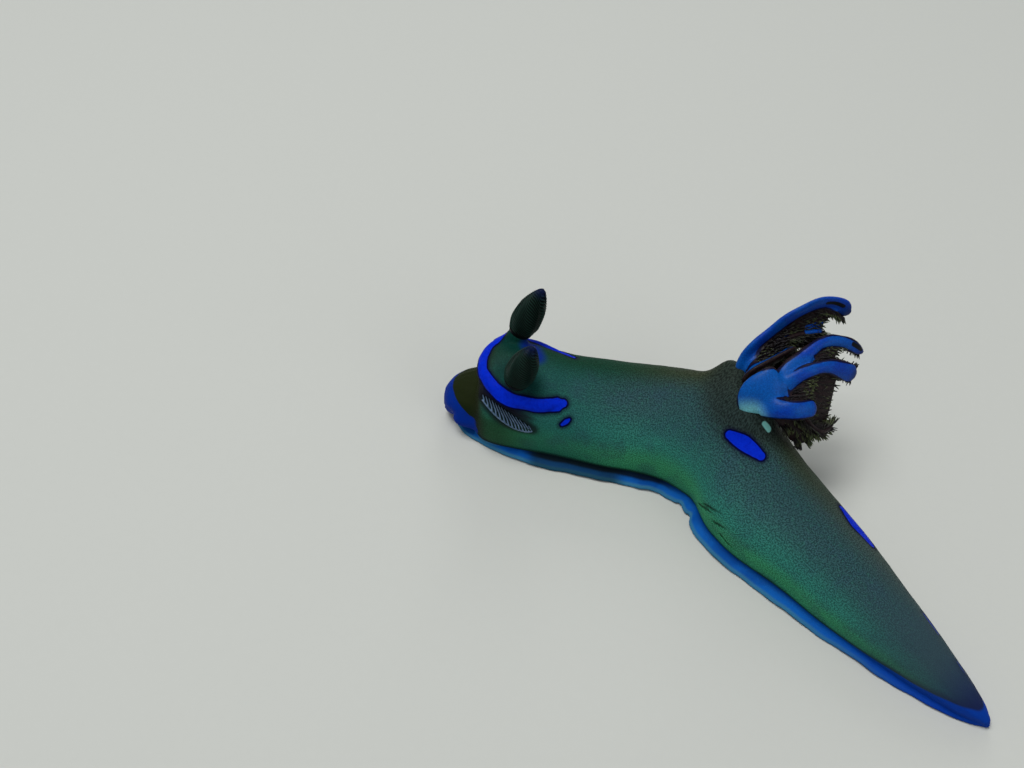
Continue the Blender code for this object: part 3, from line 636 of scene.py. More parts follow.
def add_stalk(shell, top, axis, ways, depth, radii, flare, flatness, sides):
    """A blunt stalk down from its top, whose radius grows from the first of the radii to the second."""
    rings = []
    for down in np.linspace(1, 0, 16):
        radius = radii[0] + (radii[1] - radii[0]) * down ** flare
        rings.append(oval(top - axis * depth * down, *ways, radius, radius * flatness, sides))
    shell.loft(rings)


def add_sheath(shell, rhinophore):
    axis, top = sheath_axis(rhinophore), sheath_top(rhinophore)
    depth = rhinophore["rise"] + SHEATH_SINK
    radii = (SHEATH_TOP, SHEATH_BASE)
    add_stalk(shell, top, axis, frame_across(axis), depth, radii, 1.6, SHEATH_FLATNESS, 40)


def add_gill_seat(shell):
    centre, normal = gill_seat()
    first, second = frame_across(normal, 0.0)
    radii = (GILL_SEAT_TOP, GILL_SEAT_FOOT)
    add_stalk(shell, centre, normal, (first, second), GILL_SEAT_DEPTH, radii, 1.7, GILL_SEAT_FLATNESS, 60)
    shell.loft([
        oval(centre + normal * (PAPILLA_HEIGHT * t - 0.3), first, second, radius, radius, 20)
        for t, radius in PAPILLA_PROFILE
    ])


def add_tentacle(shell, side):
    (s, left, z), (tip_s, tip_left, tip_z) = TENTACLE_ROOT, TENTACLE_TIP
    root, tip = place(s, side * left, z), place(tip_s, side * tip_left, tip_z)
    out = unit(place(tip_s, side, 0) - place(tip_s, 0, 0))
    up = unit(np.cross(tip - root, out))
    up = up if up[2] > 0 else -up
    rings = []
    for t in np.linspace(0, 1, 24):
        wide = math.sqrt(max(1 - max((t - 0.6) / 0.4, 0) ** 2, 0.05)) * (0.9 + 0.1 * t)
        thick, high = TENTACLE_HALF_THICKNESS * wide, TENTACLE_HALF_HEIGHT * wide
        rings.append(oval(root + (tip - root) * t, out, up, thick, high, 24))
    shell.loft(rings)


def slot_line(side):
    return [body_point(*slot_place(t, side)) for t in np.linspace(0, 1, 17)]


def flesh_line(places):
    """Points on the flesh, from stations and angles in degrees off the back's middle."""
    return [body_point(station, math.radians(angle)) for station, angle in places]


def off_axis(points, centre, axis):
    """How far along an axis through a centre each point lies, and how far off it."""
    off = points - centre
    rise = off @ axis
    return rise, np.linalg.norm(off - rise[:, None] * axis, axis=1)


def carve_head(points, normals):
    """Sinks the two slots and the line of the mouth into the fused skin."""
    deep = np.zeros(len(points))
    for side in SIDES:
        apart, along = line_distance(points, slot_line(side))
        swell = slot_swell(along)
        deep += SLOT_DEPTH * swell * fade(apart / (SLOT_HALF_HEIGHT * swell), 1.25, 0.25)
    mouth = [place(0.1, t * MOUTH_HALF_WIDTH, MOUTH_HEIGHT - 0.12 * t * t) for t in np.linspace(-1, 1, 9)]
    apart, _ = line_distance(points, mouth)
    deep += MOUTH_DEPTH * fade(apart, 2 * MOUTH_HALF_OPENING, 0)
    return points - normals * deep[:, None]


def wrinkle(points, normals, s, phi, depth):
    """Soft swellings and faint lengthwise creases, none on the sole."""
    amount = np.array([
        noise.noise((a * 0.30, b * 0.55, 3.1)) + 0.35 * noise.noise((a * 0.9, b * 1.8, 8.7))
        for a, b in zip(s, phi * AROUND_MM)
    ])
    amount *= depth * fade(points[:, 2], 0.9, 2.1)
    return points + normals * amount[:, None]


def build_skin(settings):
    """The whole soft body, foot and head as one skin, with its markings as distances in millimetres."""
    shell = Shell()
    for add in (add_body, add_snout, add_foot, add_rim, add_gill_seat):
        add(shell)
    for rhinophore in RHINOPHORES:
        add_sheath(shell, rhinophore)
    for side in SIDES:
        add_tentacle(shell, side)
    mesh = fused(shell, "body_skin", SKIN_CELL, SKIN_EASING)
    melt_joins(mesh)
    raise_shoulders(mesh)
    points = carve_head(read_points(mesh), read_normals(mesh))
    s, left, phi = body_coordinates(points)
    points = wrinkle(points, read_normals(mesh), s, phi, settings.swelling / MM)
    points[:, 2] = np.maximum(points[:, 2], 0.0)
    write_points(mesh, points)
    mark_skin(mesh, points, s, left, phi, settings.band_half_width / MM)
    points = swell_bend(points, s, left)
    crease = crease_distance(points)
    store(mesh, crease=crease)
    deep = CREASE_DEPTH * fade(crease, CREASE_REACH, 0)
    write_points(mesh, points - read_normals(mesh) * deep[:, None])
    flesh = [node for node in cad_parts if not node.startswith(("gill", "rhinophore"))]
    finish_piece("body_skin", mesh, skin_material(settings), flesh)


def melt_joins(mesh):
    """Lets the gills' swelling, the rhinophores' sheaths and the snout grow out of the body with no step."""
    rise, apart = off_axis(read_points(mesh), *gill_seat())
    share = fade(apart, 7.2, 5.7) * fade(apart, 2.2, 3.2) * fade(rise, -6.5, -4.5)
    eased(mesh, 170, share * (rise < 2.5))
    points = read_points(mesh)
    share = np.zeros(len(points))
    for rhinophore in RHINOPHORES:
        off = points - sheath_top(rhinophore)
        rise = off @ sheath_axis(rhinophore)
        near = fade(np.linalg.norm(off, axis=1), 3.4, 2.6) * fade(rise, -0.25, -0.65)
        share = np.maximum(share, near)
    eased(mesh, 24, share)
    points = read_points(mesh)
    s, _, _ = body_coordinates(points)
    rim_apart, _ = line_distance(points, rim_line())
    share = fade(s, 7.6, 6.4) * fade(s, 0.6, 1.8) * fade(points[:, 2], 0.9, 1.5)
    eased(mesh, 45, share * fade(rim_apart, 1.0, 1.6))


def crease_distance(points):
    """How far each point is from the thin creases at the bend, which run out at both ends."""
    distances = []
    for line in FLANK_CREASES:
        apart, along = line_distance(points, line)
        shallow = 1 - fade(along, 0, 0.2) * fade(along, 1, 0.4)
        distances.append(apart + CREASE_REACH * shallow)
    return np.minimum.reduce(distances)


def swell_bend(points, s, left):
    """Pushes the near flank and foot outwards behind the body's bend."""
    heading = heading_at(s)
    way = np.stack([np.sin(heading), -np.cos(heading), 0 * s], axis=1)
    along = fade(s, BEND_SWELL_START, BEND_SWELL_START + 7) * fade(s, BEND_SWELL_END, BEND_SWELL_END - 10)
    share = along * fade(left, 1.5, 6)
    return points + way * (BEND_SWELL * share)[:, None]


def raise_shoulders(mesh):
    """Lifts the skin behind the gills towards the root of the far leaf."""
    points = read_points(mesh)
    way = unit(SHOULDER_WAY)
    for shift, height, radius in SHOULDERS:
        rise, apart = off_axis(points - gill_seat()[0], np.array(shift), way)
        lift = height * np.exp(-(apart / radius) ** 2) * fade(rise, -5.5, -2.5)
        points = points + way * lift[:, None]
    write_points(mesh, points)


def mark_skin(mesh, points, s, left, phi, band_half_width):
    """Keeps each marking at each point as a distance in millimetres, under nothing where it is negative."""
    # The band is measured along the body, so that it climbs over the foot of the far rhinophore's sheath.
    sunk = body_point(s, phi) - points
    share = fade(np.linalg.norm(sunk, axis=1), 1.9, 1.3)
    apart, along = line_distance(points + sunk * share[:, None], rim_line())
    ends = (0.30 + 0.70 * fade(along, 0, 0.16)) * (0.6 + 0.4 * fade(along, 1, 0.97))
    band = apart - band_half_width * ends
    spots = []
    for line, half in SPOTS:
        apart, along = line_distance(points, flesh_line(line))
        spots.append(apart - half * (0.62 + 0.38 * np.sin(math.pi * along)))
    slots = []
    lips = []
    for side in SIDES:
        apart, along = line_distance(points, slot_line(side))
        slots.append(apart - SLOT_HALF_HEIGHT * slot_swell(along))
        line = [place(station, side * off, z) for station, off, z in (TENTACLE_ROOT, TENTACLE_TIP)]
        lips.append(line_distance(points, line)[0])
    seat = gill_seat()[0]
    feelers = [np.linalg.norm(points - sheath_top(rhinophore), axis=1) for rhinophore in RHINOPHORES]
    store(
        mesh,
        lay=np.stack([s, phi * AROUND_MM, 0 * s], axis=1),
        round=np.abs(np.degrees(phi)),
        station=s,
        right=-left,
        height=points[:, 2],
        band=band,
        spot=np.minimum.reduce(spots),
        slot=np.minimum.reduce(slots),
        margin=np.maximum(foot_half(s), 0.4) - np.abs(left),
        lip=np.minimum.reduce(lips),
        gills=np.linalg.norm(points - seat, axis=1),
        feelers=np.minimum.reduce(feelers),
        gleam=line_distance(points, seat + np.array(GLEAM))[0],
        patch=line_distance(points, flesh_line(DUSKY_PATCH))[0],
    )


def fold_point(t, u, side):
    """A place in a slot, with the way out there: t is 0 in front and 1 behind, u is -1 above and 1 below."""
    s, phi = slot_place(t, side)
    swell = slot_swell(t)
    drop = swell * u * (1 + FOLD_DROP * (0.6 - t) if u > 0 else FOLD_CLIMB)
    station = s + (FOLD_SLANT + FOLD_SLANT_GAIN * t) * drop
    angle = phi + side * FOLD_REACH * drop / AROUND_MM
    outward = body_normal(station, angle)
    sunk = FOLD_SINK * swell * (1 - float(fade(u, 0.45, 0.9)))
    return body_point(station, angle) + outward * (FOLD_RISE - sunk), outward


def build_folds(settings):
    """The thin pale folds across each slot of the head, and the rim below that joins their feet."""
    shell = Shell()
    for side in SIDES:
        strands = [[(t, u, 0.7 + 0.3 * u) for u in np.linspace(-1, 1, 15)]
                   for t in np.linspace(0.05, 0.97, settings.count)]
        strands.append([(t, 1.0, 0.8) for t in np.linspace(0.02, 0.96, 48)])
        for strand in strands:
            centres, outwards = zip(*[fold_point(t, u, side) for t, u, _ in strand])
            rings = []
            for centre, way, outward, (_, _, share) in zip(centres, ways_along(centres), outwards, strand):
                wide = settings.thickness / MM * share
                rings.append(oval(centre, unit(np.cross(way, outward)), outward, wide, wide * 1.4, 8))
            shell.loft(rings)
    finish_piece("slot_ridges", shell.mesh("slot_ridges"), fold_material(settings))


def build_club(rhinophore, settings, material):
    """An upright club with a stack of thin leaves, which slope down to the rear."""
    axis = sheath_axis(rhinophore)
    first, second = frame_across(axis)
    root = sheath_top(rhinophore) + axis * (CLUB_GAP - CLUB_ROOT)
    length = rhinophore["length"] + CLUB_ROOT
    widest = max(radius for _, radius in CLUB_PROFILE)
    turns = np.linspace(0, 2 * math.pi, CLUB_SIDES, endpoint=False)
    way = first * np.cos(turns)[:, None] + second * np.sin(turns)[:, None] * CLUB_FLATNESS
    rings = []
    teeth = []
    heights = np.linspace(0, 1, CLUB_ROWS)
    for t in heights:
        radius = float(read_table(CLUB_PROFILE, 1, t))
        wave = 0.012 * np.sin(5 * turns + 9 * t)
        count = settings.leaves * (t + CLUB_LEAF_TILT * np.cos(turns) * radius / widest + wave)
        tooth = 1 - (np.abs((count % 1.0) - 0.42) / 0.58) ** 0.8
        leafy = float(fade(t, 0.07, 0.12) * fade(t, 0.985, 0.925))
        front = 1 - 0.75 * np.exp(-((np.pi - turns) / 0.35) ** 2)
        rear = 1 + 0.5 * np.maximum(np.cos(turns), 0) ** 2
        depth = CLUB_LEAF_DEPTH * leafy * front * rear * min(1.0, 1.2 / max(radius, 0.3))
        across = radius * (1 - depth * (1 - tooth))
        rings.append(root + axis * length * t + way * across[:, None])
        teeth.append(tooth * leafy)
    shell = Shell()
    shell.loft(rings, root + axis * length * 1.004)
    mesh = shell.mesh("rhinophore_leaves_" + rhinophore["side"])
    store(mesh, edge=np.append(teeth, 1.0), rise=np.append(np.repeat(heights, CLUB_SIDES), 1.0))
    finish_piece(mesh.name, mesh, material, ["rhinophore_" + rhinophore["side"]])


def route_point(route, t):
    """A smooth curve through a limb's points, read at t from 0 to 1."""
    knots = np.asarray(route)
    at = min(max(t, 0.0), 1.0) * (len(knots) - 1)
    i = min(int(at), len(knots) - 2)
    f = at - i
    before = knots[i - 1] if i else 2 * knots[0] - knots[1]
    after = knots[i + 2] if i + 2 < len(knots) else 2 * knots[-1] - knots[-2]
    here, ahead = knots[i], knots[i + 1]
    rise = ahead - here
    bend = ((ahead - before) / 2 - rise) * (1 - f) - ((after - here) / 2 - rise) * f
    return here + rise * f + f * (1 - f) * bend


class Limb:
    """One limb of a gill leaf: its middle line, and across it the way its blue outer face looks."""

    def __init__(self, limb, leaf):
        centre, _ = gill_seat()
        self.route = [centre + np.asarray(point) for point in limb["route"]]
        self.outer = np.asarray(limb.get("outer", leaf["outer"]))
        self.widths = list(zip((0.0, 0.5, 1.0), limb["width"]))
        self.thicknesses = list(zip((0.0, 1.0), limb["thickness"]))
        self.length = sum(np.linalg.norm(b - a) for a, b in zip(self.route, self.route[1:]))
        self.fringe = limb["fringe"]
        self.paint = limb.get("paint", 0.0)
        self.strip = limb.get("strip", (2.0, 0.0, 0.0))

    def at(self, t):
        """Middle, tangent, width direction, outer direction, half width and half thickness at t."""
        ahead = route_point(self.route, min(t + 0.02, 1))
        tangent = unit(ahead - route_point(self.route, max(t - 0.02, 0)))
        face = unit(self.outer - tangent * (self.outer @ tangent))
        wide = float(read_table(self.widths, 1, t))
        thick = float(read_table(self.thicknesses, 1, t))
        return route_point(self.route, t), tangent, np.cross(tangent, face), face, wide, thick


def add_limb(shell, limb):
    rings = []
    for t in np.linspace(0, 1, max(16, round(limb.length / 0.25))):
        middle, _, across, face, wide, thick = limb.at(t)
        blunt = math.sqrt(max(1 - max((t - 0.86) / 0.14, 0) ** 2 - max(1 - t / 0.12, 0) ** 2, 0.06))
        wave = 1 + 0.07 * math.sin(t * limb.length * 1.7)
        rings.append(oval(middle, across, face, wide * blunt * wave, thick * blunt, 28))
    shell.loft(rings)


def web_point(limbs, web, u, v):
    """A place on the sheet between two limbs: u from root to free edge, v from limb to limb."""
    first, first_reach, second, second_reach = web
    a, tangent, _, face, _, thick = limbs[first].at(u * first_reach)
    b, other = limbs[second].at(u * second_reach)[:2]
    way = unit(tangent + other)
    sag = WEB_SAG * u * u * math.sin(math.pi * v)
    return a + (b - a) * v - face * thick * 0.6 - way * sag, way, face


def add_web(shell, limbs, web):
    """The thin sheet between two limbs, set back from their blue faces, with a hollow free edge."""
    shares = np.linspace(0, 1, 13)
    rings = []
    for u in np.linspace(0.04, 1.0, 26):
        near = [web_point(limbs, web, u, v) for v in shares]
        front = [middle + face * WEB_HALF_THICKNESS for middle, _, face in near]
        back = [middle - face * WEB_HALF_THICKNESS for middle, _, face in near]
        rings.append(np.array(front + back[::-1]))
    shell.loft(rings)


def build_blade(leaf, material):
    """A gill leaf's limbs and webs fused into one sheet, blue on the outer face and dark within."""
    limbs = [Limb(limb, leaf) for limb in leaf["limbs"]]
    shell = Shell()
    for limb in limbs:
        add_limb(shell, limb)
    for web in leaf.get("webs", ()):
        add_web(shell, limbs, web)
    name = leaf["name"].replace("leaf", "blade")
    mesh = fused(shell, name, GILL_CELL, GILL_EASING)
    share = fade(np.linalg.norm(read_points(mesh) - gill_seat()[0], axis=1), 5.6, 4.0)
    eased(mesh, 80, share)
    mark_blade(mesh, leaf["name"], limbs)
    finish_piece(name, mesh, material, [leaf["name"]])


def mark_blade(mesh, name, limbs):
    """Keeps a gill leaf's markings at its points, from the nearest place along its limbs."""
    points = read_points(mesh)
    samples = [(limb, t, *limb.at(t)) for limb in limbs for t in np.linspace(0, 1, 60)]
    index = nearest([sample[2] for sample in samples], points)
    middles, tangents, across, faces, wide = (
        np.array([sample[k] for sample in samples])[index] for k in (2, 3, 4, 5, 6)
    )
    reach, paint, along, start, low, high = np.array([
        (bool(limb.fringe) * t, limb.paint, t, *limb.strip) for limb, t, *_ in samples
    ])[index].T
    side = dot(points - middles, across)
    outer = dot(read_normals(mesh), faces)
    blue = np.minimum(outer + paint, 0.98 * wide - np.abs(side))
    blue = np.minimum(blue, 0.5 - dot(points - middles, tangents))
    strip = np.maximum(side - low - (high - low) * along ** 3, outer - 0.35)
    dashes = np.full(len(points), FAR_OFF)
    for owner, number, start_at, end_at, shift, front in DASHES:
        if owner == name:
            frames = [limbs[number].at(t) for t in np.linspace(start_at, end_at, 9)]
            line = [frame[0] + frame[2] * shift * frame[4] + frame[3] * front * frame[5] for frame in frames]
            dashes = line_distance(points, line)[0]
    store(
        mesh,
        blue=spread(mesh, np.where(along > start, strip, blue), 3),
        reach=spread(mesh, reach, 120),
        pale=np.linalg.norm(points - gill_seat()[0] - PALE_PLACE, axis=1),
        dash=dashes,
    )


class Fringe(Shell):
    """A leaf's filaments, and for each point how near it is to its filament's tip."""

    RUNGS = (0.0, 0.3, 0.6, 0.85)
    CORNERS = 5

    def __init__(self):
        super().__init__()
        self.tips = []

    def grow(self, root, way, across, radius, curl=0.0):
        """One hair from root along way, bent by curl towards its tip."""
        rings = []
        for u in self.RUNGS:
            thin = radius * (1 - u) ** 0.6 + 0.02
            centre = root + way * u + curl * u * u * 0.6
            rings.append(oval(centre, across, np.cross(unit(way), across), thin, thin, self.CORNERS))
        self.loft(rings, root + way + curl * 0.6)
        self.tips += [u for u in self.RUNGS for _ in range(self.CORNERS)] + [1.0]


def build_filaments(leaf, seed, settings, material):
    """The fine filaments along the inner side and edges of each limb, and on the webs' near faces."""
    rng = np.random.default_rng(seed)
    fringe = Fringe()
    limbs = [Limb(limb, leaf) for limb in leaf["limbs"]]
    radius, reach = settings.filament_radius / MM, settings.filament_length / MM
    for limb in limbs:
        if not limb.fringe:
            continue
        for t in np.arange(0.3, 0.99, FILAMENT_SPACING / limb.length):
            middle, tangent, across, face, wide, thick = limb.at(t)
            if limb.paint < -1 and rng.uniform() < FILAMENTS_TURNED:
                face = -face
            for side in limb.fringe:
                for row in FILAMENT_ROWS:
                    rows = 1.0 - 0.5 * row
                    root = middle + across * side * wide * (0.8 * rows) - face * thick * (0.2 + 0.55 * row)
                    way = tangent * rng.uniform(0.35, 0.8) + across * side * rng.uniform(0.3, 0.7) * rows
                    way = unit(way - face * (0.35 + 0.9 * row) + rng.normal(0, 0.10, 3))
                    long = rng.uniform(0.75, 1.25) * (1.1 - 0.4 * t) * reach
                    curl = tangent * rng.uniform(0.1, 0.5) * long - face * rng.uniform(-0.2, 0.3) * long
                    fringe.grow(root, way * long, across, radius, curl)
    for web in leaf.get("webs", ()):
        for u in np.arange(0.45, 1.02, 0.035):
            for v in np.linspace(0.08, 0.92, 10):
                if rng.uniform() > 0.35 + 0.65 * u:
                    continue
                middle, tangent, face = web_point(limbs, web, u, v)
                root = middle + face * leaf["near"] * WEB_HALF_THICKNESS * 0.8
                way = unit(tangent + face * leaf["near"] * 0.25 + rng.normal(0, 0.28, 3))
                long = rng.uniform(0.45, 0.95) * reach
                fringe.grow(root, way * long, np.cross(face, tangent), radius * 0.9)
    name = leaf["name"].replace("leaf", "fringe")
    mesh = fringe.mesh(name)
    store(mesh, tip=np.array(fringe.tips))
    finish_piece(name, mesh, material)


def finish_piece(name, mesh, material, nodes=()):
    """Scales a finished mesh to metres and hands it to the frame, for the nodes it stands for."""
    write_points(mesh, read_points(mesh) * MM)
    mesh.materials.clear()
    mesh.materials.append(material)
    mesh.shade_smooth()
    mesh.name = name
    made = linked(name, mesh)
    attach(made, "root")
    if nodes:
        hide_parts(*nodes)


class Recipe:
    """A material's node tree, with one call to add a node with its settings and links."""

    def __init__(self, name):
        self.material = bpy.data.materials.new(name)
        self.material.use_nodes = True
        self.tree = self.material.node_tree

    def add(self, kind, settings=None, inputs=None, output=0):
        node = self.tree.nodes.new("ShaderNode" + kind)
        for key, value in (settings or {}).items():
            setattr(node, key, value)
        self.fill(node, inputs or {})
        return node.outputs[output]

    def fill(self, node, inputs):
        """Sets a node's inputs from sockets, colours written as six digits, or plain values."""
        for key, value in inputs.items():
            if isinstance(value, bpy.types.NodeSocket):
                self.tree.links.new(value, node.inputs[key])
            else:
                node.inputs[key].default_value = linear(value) if isinstance(value, str) else value

    def field(self, name, output=2):
        """A number kept at each point: output 1 reads a vector, 2 a number."""
        return self.add("Attribute", {"attribute_name": name}, output=output)

    def math(self, operation, a, b):
        return self.add("Math", {"operation": operation}, {0: a, 1: b})

    def times(self, product, *factors):
        for factor in factors:
            product = self.math("MULTIPLY", product, factor)
        return product

    def ramp(self, value, low, high, to_low, to_high):
        inputs = {0: value, 1: low, 2: high, 3: to_low, 4: to_high}
        return self.add("MapRange", {"interpolation_type": "SMOOTHSTEP"}, inputs)

    def share(self, value, low, high, most=1.0):
        """Nothing at low and the most at high, which may be the smaller of the two."""
        return self.ramp(value, low, high, 0.0, most)

    def layers(self, colour, *paints):
        """Lays paints over a colour in turn, each with its share."""
        for paint, share in paints:
            colour = self.add("Mix", {"data_type": "RGBA"}, {0: share, 6: colour, 7: paint}, output=2)
        return colour

    def shaded(self, colour, value):
        """A colour made darker or lighter, value 1 leaving it as it is."""
        return self.add("HueSaturation", None, {"Value": value, "Color": colour})

    def noise(self, vector, scale, detail=2.0, roughness=0.5):
        inputs = {"Vector": vector, "Scale": scale, "Detail": detail, "Roughness": roughness}
        return self.add("TexNoise", None, inputs)

    def bump(self, height, distance, strength):
        return self.add("Bump", None, {"Height": height, "Distance": distance, "Strength": strength})

    def finish(self, colour, roughness, normal=None, coat=0.1, gloss=0.3, subsurface=0.0):
        inputs = {
            "Base Color": colour,
            "Roughness": roughness,
            "IOR": FLESH_IOR,
            "Specular IOR Level": gloss,
            "Coat Weight": coat,
            "Coat Roughness": 0.2,
            "Subsurface Weight": subsurface,
            "Subsurface Radius": SCATTER_RADIUS,
            "Subsurface Scale": 1.0,
        }
        if normal is not None:
            inputs["Normal"] = normal
        self.fill(self.tree.nodes["Principled BSDF"], inputs)
        return self.material


def skin_material(settings):
    # Living sea-slug skin: soft and velvety, its colour in fine grains of pigment, with barely any gloss.
    skin = Recipe("speckled_mantle_skin")
    share, times = skin.share, skin.times
    lay = skin.field("lay", 1)
    around, station, height = skin.field("round"), skin.field("station"), skin.field("height")
    # Pigment grains are about 0.1 mm; they are drawn at 0.17 mm, so that they show at the camera's distance.
    grain = skin.noise(lay, 6.0)
    clouds = skin.noise(lay, 0.30, 3.0, 0.55)
    flecks = skin.noise(lay, 2.2, 3.0, 0.6)
    wobble = times(skin.math("SUBTRACT", skin.noise(lay, 0.8), 0.5), 0.2)

    # Painted shade: the right side, away from the light, is painted darker, more so ahead of the gills, in
    # tones that change along the body.
    far_side_shade_weight = skin.math("ADD", skin.field("right"), share(station, 44, 36, 1.1))
    painted_far_side_shade = skin.layers("0A3420", ("30351F", share(station, 20, 32)), ("3A4440", share(station, 40, 60)))
    colour = skin.layers(
        settings.back,
        (settings.flank, share(around, 12, 62)),
        (settings.low_flank, share(around, 64, 92)),
        ("1B524E", times(share(station, 9, 14), share(station, 26, 17), 0.6)),
        ("2C4850", times(share(station, 15, 26), share(around, 70, 30), 0.6)),
        ("2A4250", share(clouds, 0.45, 0.68, 0.35)),
        ("2C6A58", share(flecks, 0.50, 0.72, 0.3)),
        (painted_far_side_shade, share(far_side_shade_weight, -1.0, 3.8, 0.9)),
        ("262F2C", share(skin.field("gills"), 8.0, 4.6, 0.85)),
        ("06322E", share(skin.field("feelers"), 4.4, 2.2, 0.75)),
    )
    stippled = skin.shaded(colour, skin.ramp(grain, 0.38, 0.62, 1.5, 0.55))
    slot, band = skin.field("slot"), skin.field("band")
    colour = skin.layers(
        colour,
        (stippled, skin.ramp(station, 10, 26, 0.35, 1.0)),
        ("1F2611", share(station, 7.2, 5.2)),
        ("08247A", share(skin.field("patch"), 1.9, 0.5, 0.95)),
        ("15200E", times(share(station, 15, 8), share(around, 62, 84), 0.75)),
        # Painted shade darkens the thin creases at the bend.
        ("0C1C14", share(skin.field("crease"), 0.3, 0.06, 0.75)),
        ("86CFC8", share(skin.field("gleam"), 0.42, 0.28)),
        # Painted shade in and round the slot: dark violet above its pale folds and between it and the band's
        # raised rim, and blue-black deep in the slot between the folds.
        ("100D18", share(slot, 1.2, 0.25, 0.85)),
        ("0D1626", share(slot, 0.0, -0.4)),
        ("120E1C", times(share(slot, 1.9, 0.8), share(band, 1.5, 0.8), 0.8)),
    )
    # Royal blue band and spots, inked round in navy, with a dusky halo of painted shade round them.
    blue = skin.math("ADD", skin.math("MINIMUM", band, skin.field("spot")), wobble)
    royal = skin.layers(settings.band, ("0117A0", share(flecks, 0.4, 0.7, 0.45)))
    # Painted shade makes a dark line in the groove just above the foot, and the tail darkens to its tip.
    rise = skin.math("SUBTRACT", height, share(station, 61, 76, 1.1))
    colour = skin.layers(
        colour,
        ("0E0B26", share(blue, 0.75, 0.2, 0.6)),
        ("02042E", share(blue, 0.26, 0.16)),
        (royal, share(blue, 0.03, -0.05)),
        ("0D0A1C", share(rise, 2.2, 1.35, 0.85)),
        ("33444E", share(station, 58, 72, 0.75)),
        ("161F4C", share(station, 70, 77.5, 0.9)),
        (foot_paint(skin, lay, station, settings.foot), share(rise, 1.35, 1.05)),
    )
    colour = skin.layers(colour, *mouth_paints(skin, station, height, wobble))
    normal = skin.bump(skin.noise(lay, 4.2, 4.0, 0.65), 0.00010, 0.6)
    rough = skin.ramp(grain, 0.3, 0.7, 0.46, 0.62)
    return skin.finish(colour, rough, normal, coat=0.0, gloss=0.05, subsurface=0.05)


def foot_paint(skin, lay, station, edge):
    """The foot's edge: deep blue beside the flank, paling outwards to a thin see-through rim."""
    share, times = skin.share, skin.times
    margin = skin.field("margin")
    drift = skin.noise(skin.add("Mapping", None, {"Vector": lay, "Scale": (0.5, 1.0, 1.0)}), 0.5, 3.0)
    return skin.layers(
        "06306E",
        (edge, share(margin, 1.9, 0.7)),
        ("04408E", share(drift, 0.45, 0.62, 0.6)),
        ("3C7688", share(margin, 0.5, 0.1, 0.7)),
        ("083A9C", share(station, 56, 74)),
        # Painted shade: the foot's edge is dulled under the head and neck, and darkened next to the flank
        # there, where the body overhangs it.
        ("12303A", times(share(station, 11.5, 13.5), share(station, 25.5, 23.0), 0.75)),
        ("0A1414", times(share(station, 10, 14), share(station, 37, 30), share(margin, 0.75, 1.15), 0.9)),
    )


def mouth_paints(skin, station, height, wobble):
    """Blue on the snout's front rim and on the lips beside the mouth, and a pale lip below it."""
    share, times = skin.share, skin.times
    front = skin.math("ADD", skin.math("ADD", height, times(station, 0.36)), wobble)
    middle = skin.math("SUBTRACT", height, 2.4)
    rounded = skin.math("ADD", station, times(middle, middle, 0.4))
    snout = times(share(front, 6.12, 5.98), share(rounded, 5.55, 5.4), share(height, 0.9, 1.2))
    lip = times(share(skin.field("lip"), 1.6, 1.45), share(station, 5.4, 4.8))
    yield "022A8A", skin.math("MAXIMUM", snout, lip)
    yield "4E5570", times(lip, share(height, 1.9, 1.4))


def fold_material(settings):
    # Thin wet flesh: pale lavender, a little see-through, so the dark slot shows between soft lines.
    folds = Recipe("thin_pale_flesh")
    tone = folds.noise(folds.add("TexCoord", output=3), 1800.0)
    return folds.finish(folds.layers("26384E", (settings.colour, tone)), 0.45, coat=0.15, subsurface=0.1)


def club_material(settings):
    # Rhinophore flesh: stacked leaves, bottle green along each edge and navy at the tip, with painted shade
    # making the gaps between the leaves black.
    club = Recipe("leafy_rhinophore_flesh")
    rise = club.field("rise")
    grain = club.noise(club.add("TexCoord", output=3), 3500.0, 3.0)
    colour = club.layers(
        "020504",
        (settings.leaf_edge, club.share(club.field("edge"), 0.4, 1.0)),
        ("06163E", club.share(rise, 0.80, 0.98, 0.8)),
        ("060B09", club.share(rise, 0.09, 0.04)),
        ("020404", club.share(grain, 0.5, 0.75, 0.4)),
    )
    return club.finish(colour, 0.5, club.bump(grain, 0.00006, 0.4), coat=0.02, gloss=0.12)


def gill_material(settings):
    # Gill flesh: smooth wet sheets, blue on the outer face with an inked edge, and dark plum inside.
    gill = Recipe("smooth_gill_flesh")
    share, reach = gill.share, gill.field("reach")
    where = gill.add("TexCoord", output=3)
    blotch = gill.noise(where, 420.0, 3.0)
    grain = gill.noise(where, 6000.0)
    blue = gill.layers(
        settings.blade,
        ("02479A", share(blotch, 0.35, 0.65)),
        ("03509E", share(reach, 0.30, 0.06, 0.8)),
        ("7CCBD2", share(gill.field("pale"), 3.3, 0.7)),
    )
    blue = gill.layers(
        gill.shaded(blue, gill.ramp(grain, 0.3, 0.7, 0.82, 1.2)),
        ("04134C", share(reach, 0.88, 1.0)),
        ("03060F", share(gill.field("dash"), 0.34, 0.24)),
    )
    cut = gill.math("ADD", gill.field("blue"), gill.times(gill.math("SUBTRACT", blotch, 0.5), 0.25))
    colour = gill.layers(
        "1A1013",
        ("2C1E20", share(grain, 0.4, 0.7)),
        ("030730", share(cut, 0.0, 0.08)),
        (blue, share(cut, 0.17, 0.27)),
    )
    return gill.finish(colour, 0.45, gill.bump(grain, 0.00006, 0.4), coat=0.05, gloss=0.16, subsurface=0.04)


def filament_material(settings):
    # Gill filaments: hair-fine flesh, dark plum to black, with a yellow-green painted highlight on their
    # tips.
    fringe = Recipe("fine_gill_filaments")
    tone = fringe.noise(fringe.add("TexCoord", output=3), 380.0)
    light = fringe.times(fringe.share(fringe.field("tip"), 0.3, 1.0), fringe.share(tone, 0.42, 0.6))
    colour = fringe.layers("08060A", ("1D1718", tone), (settings.filament_tip_highlight, light))
    return fringe.finish(colour, 0.5, coat=0.1, subsurface=0.08)


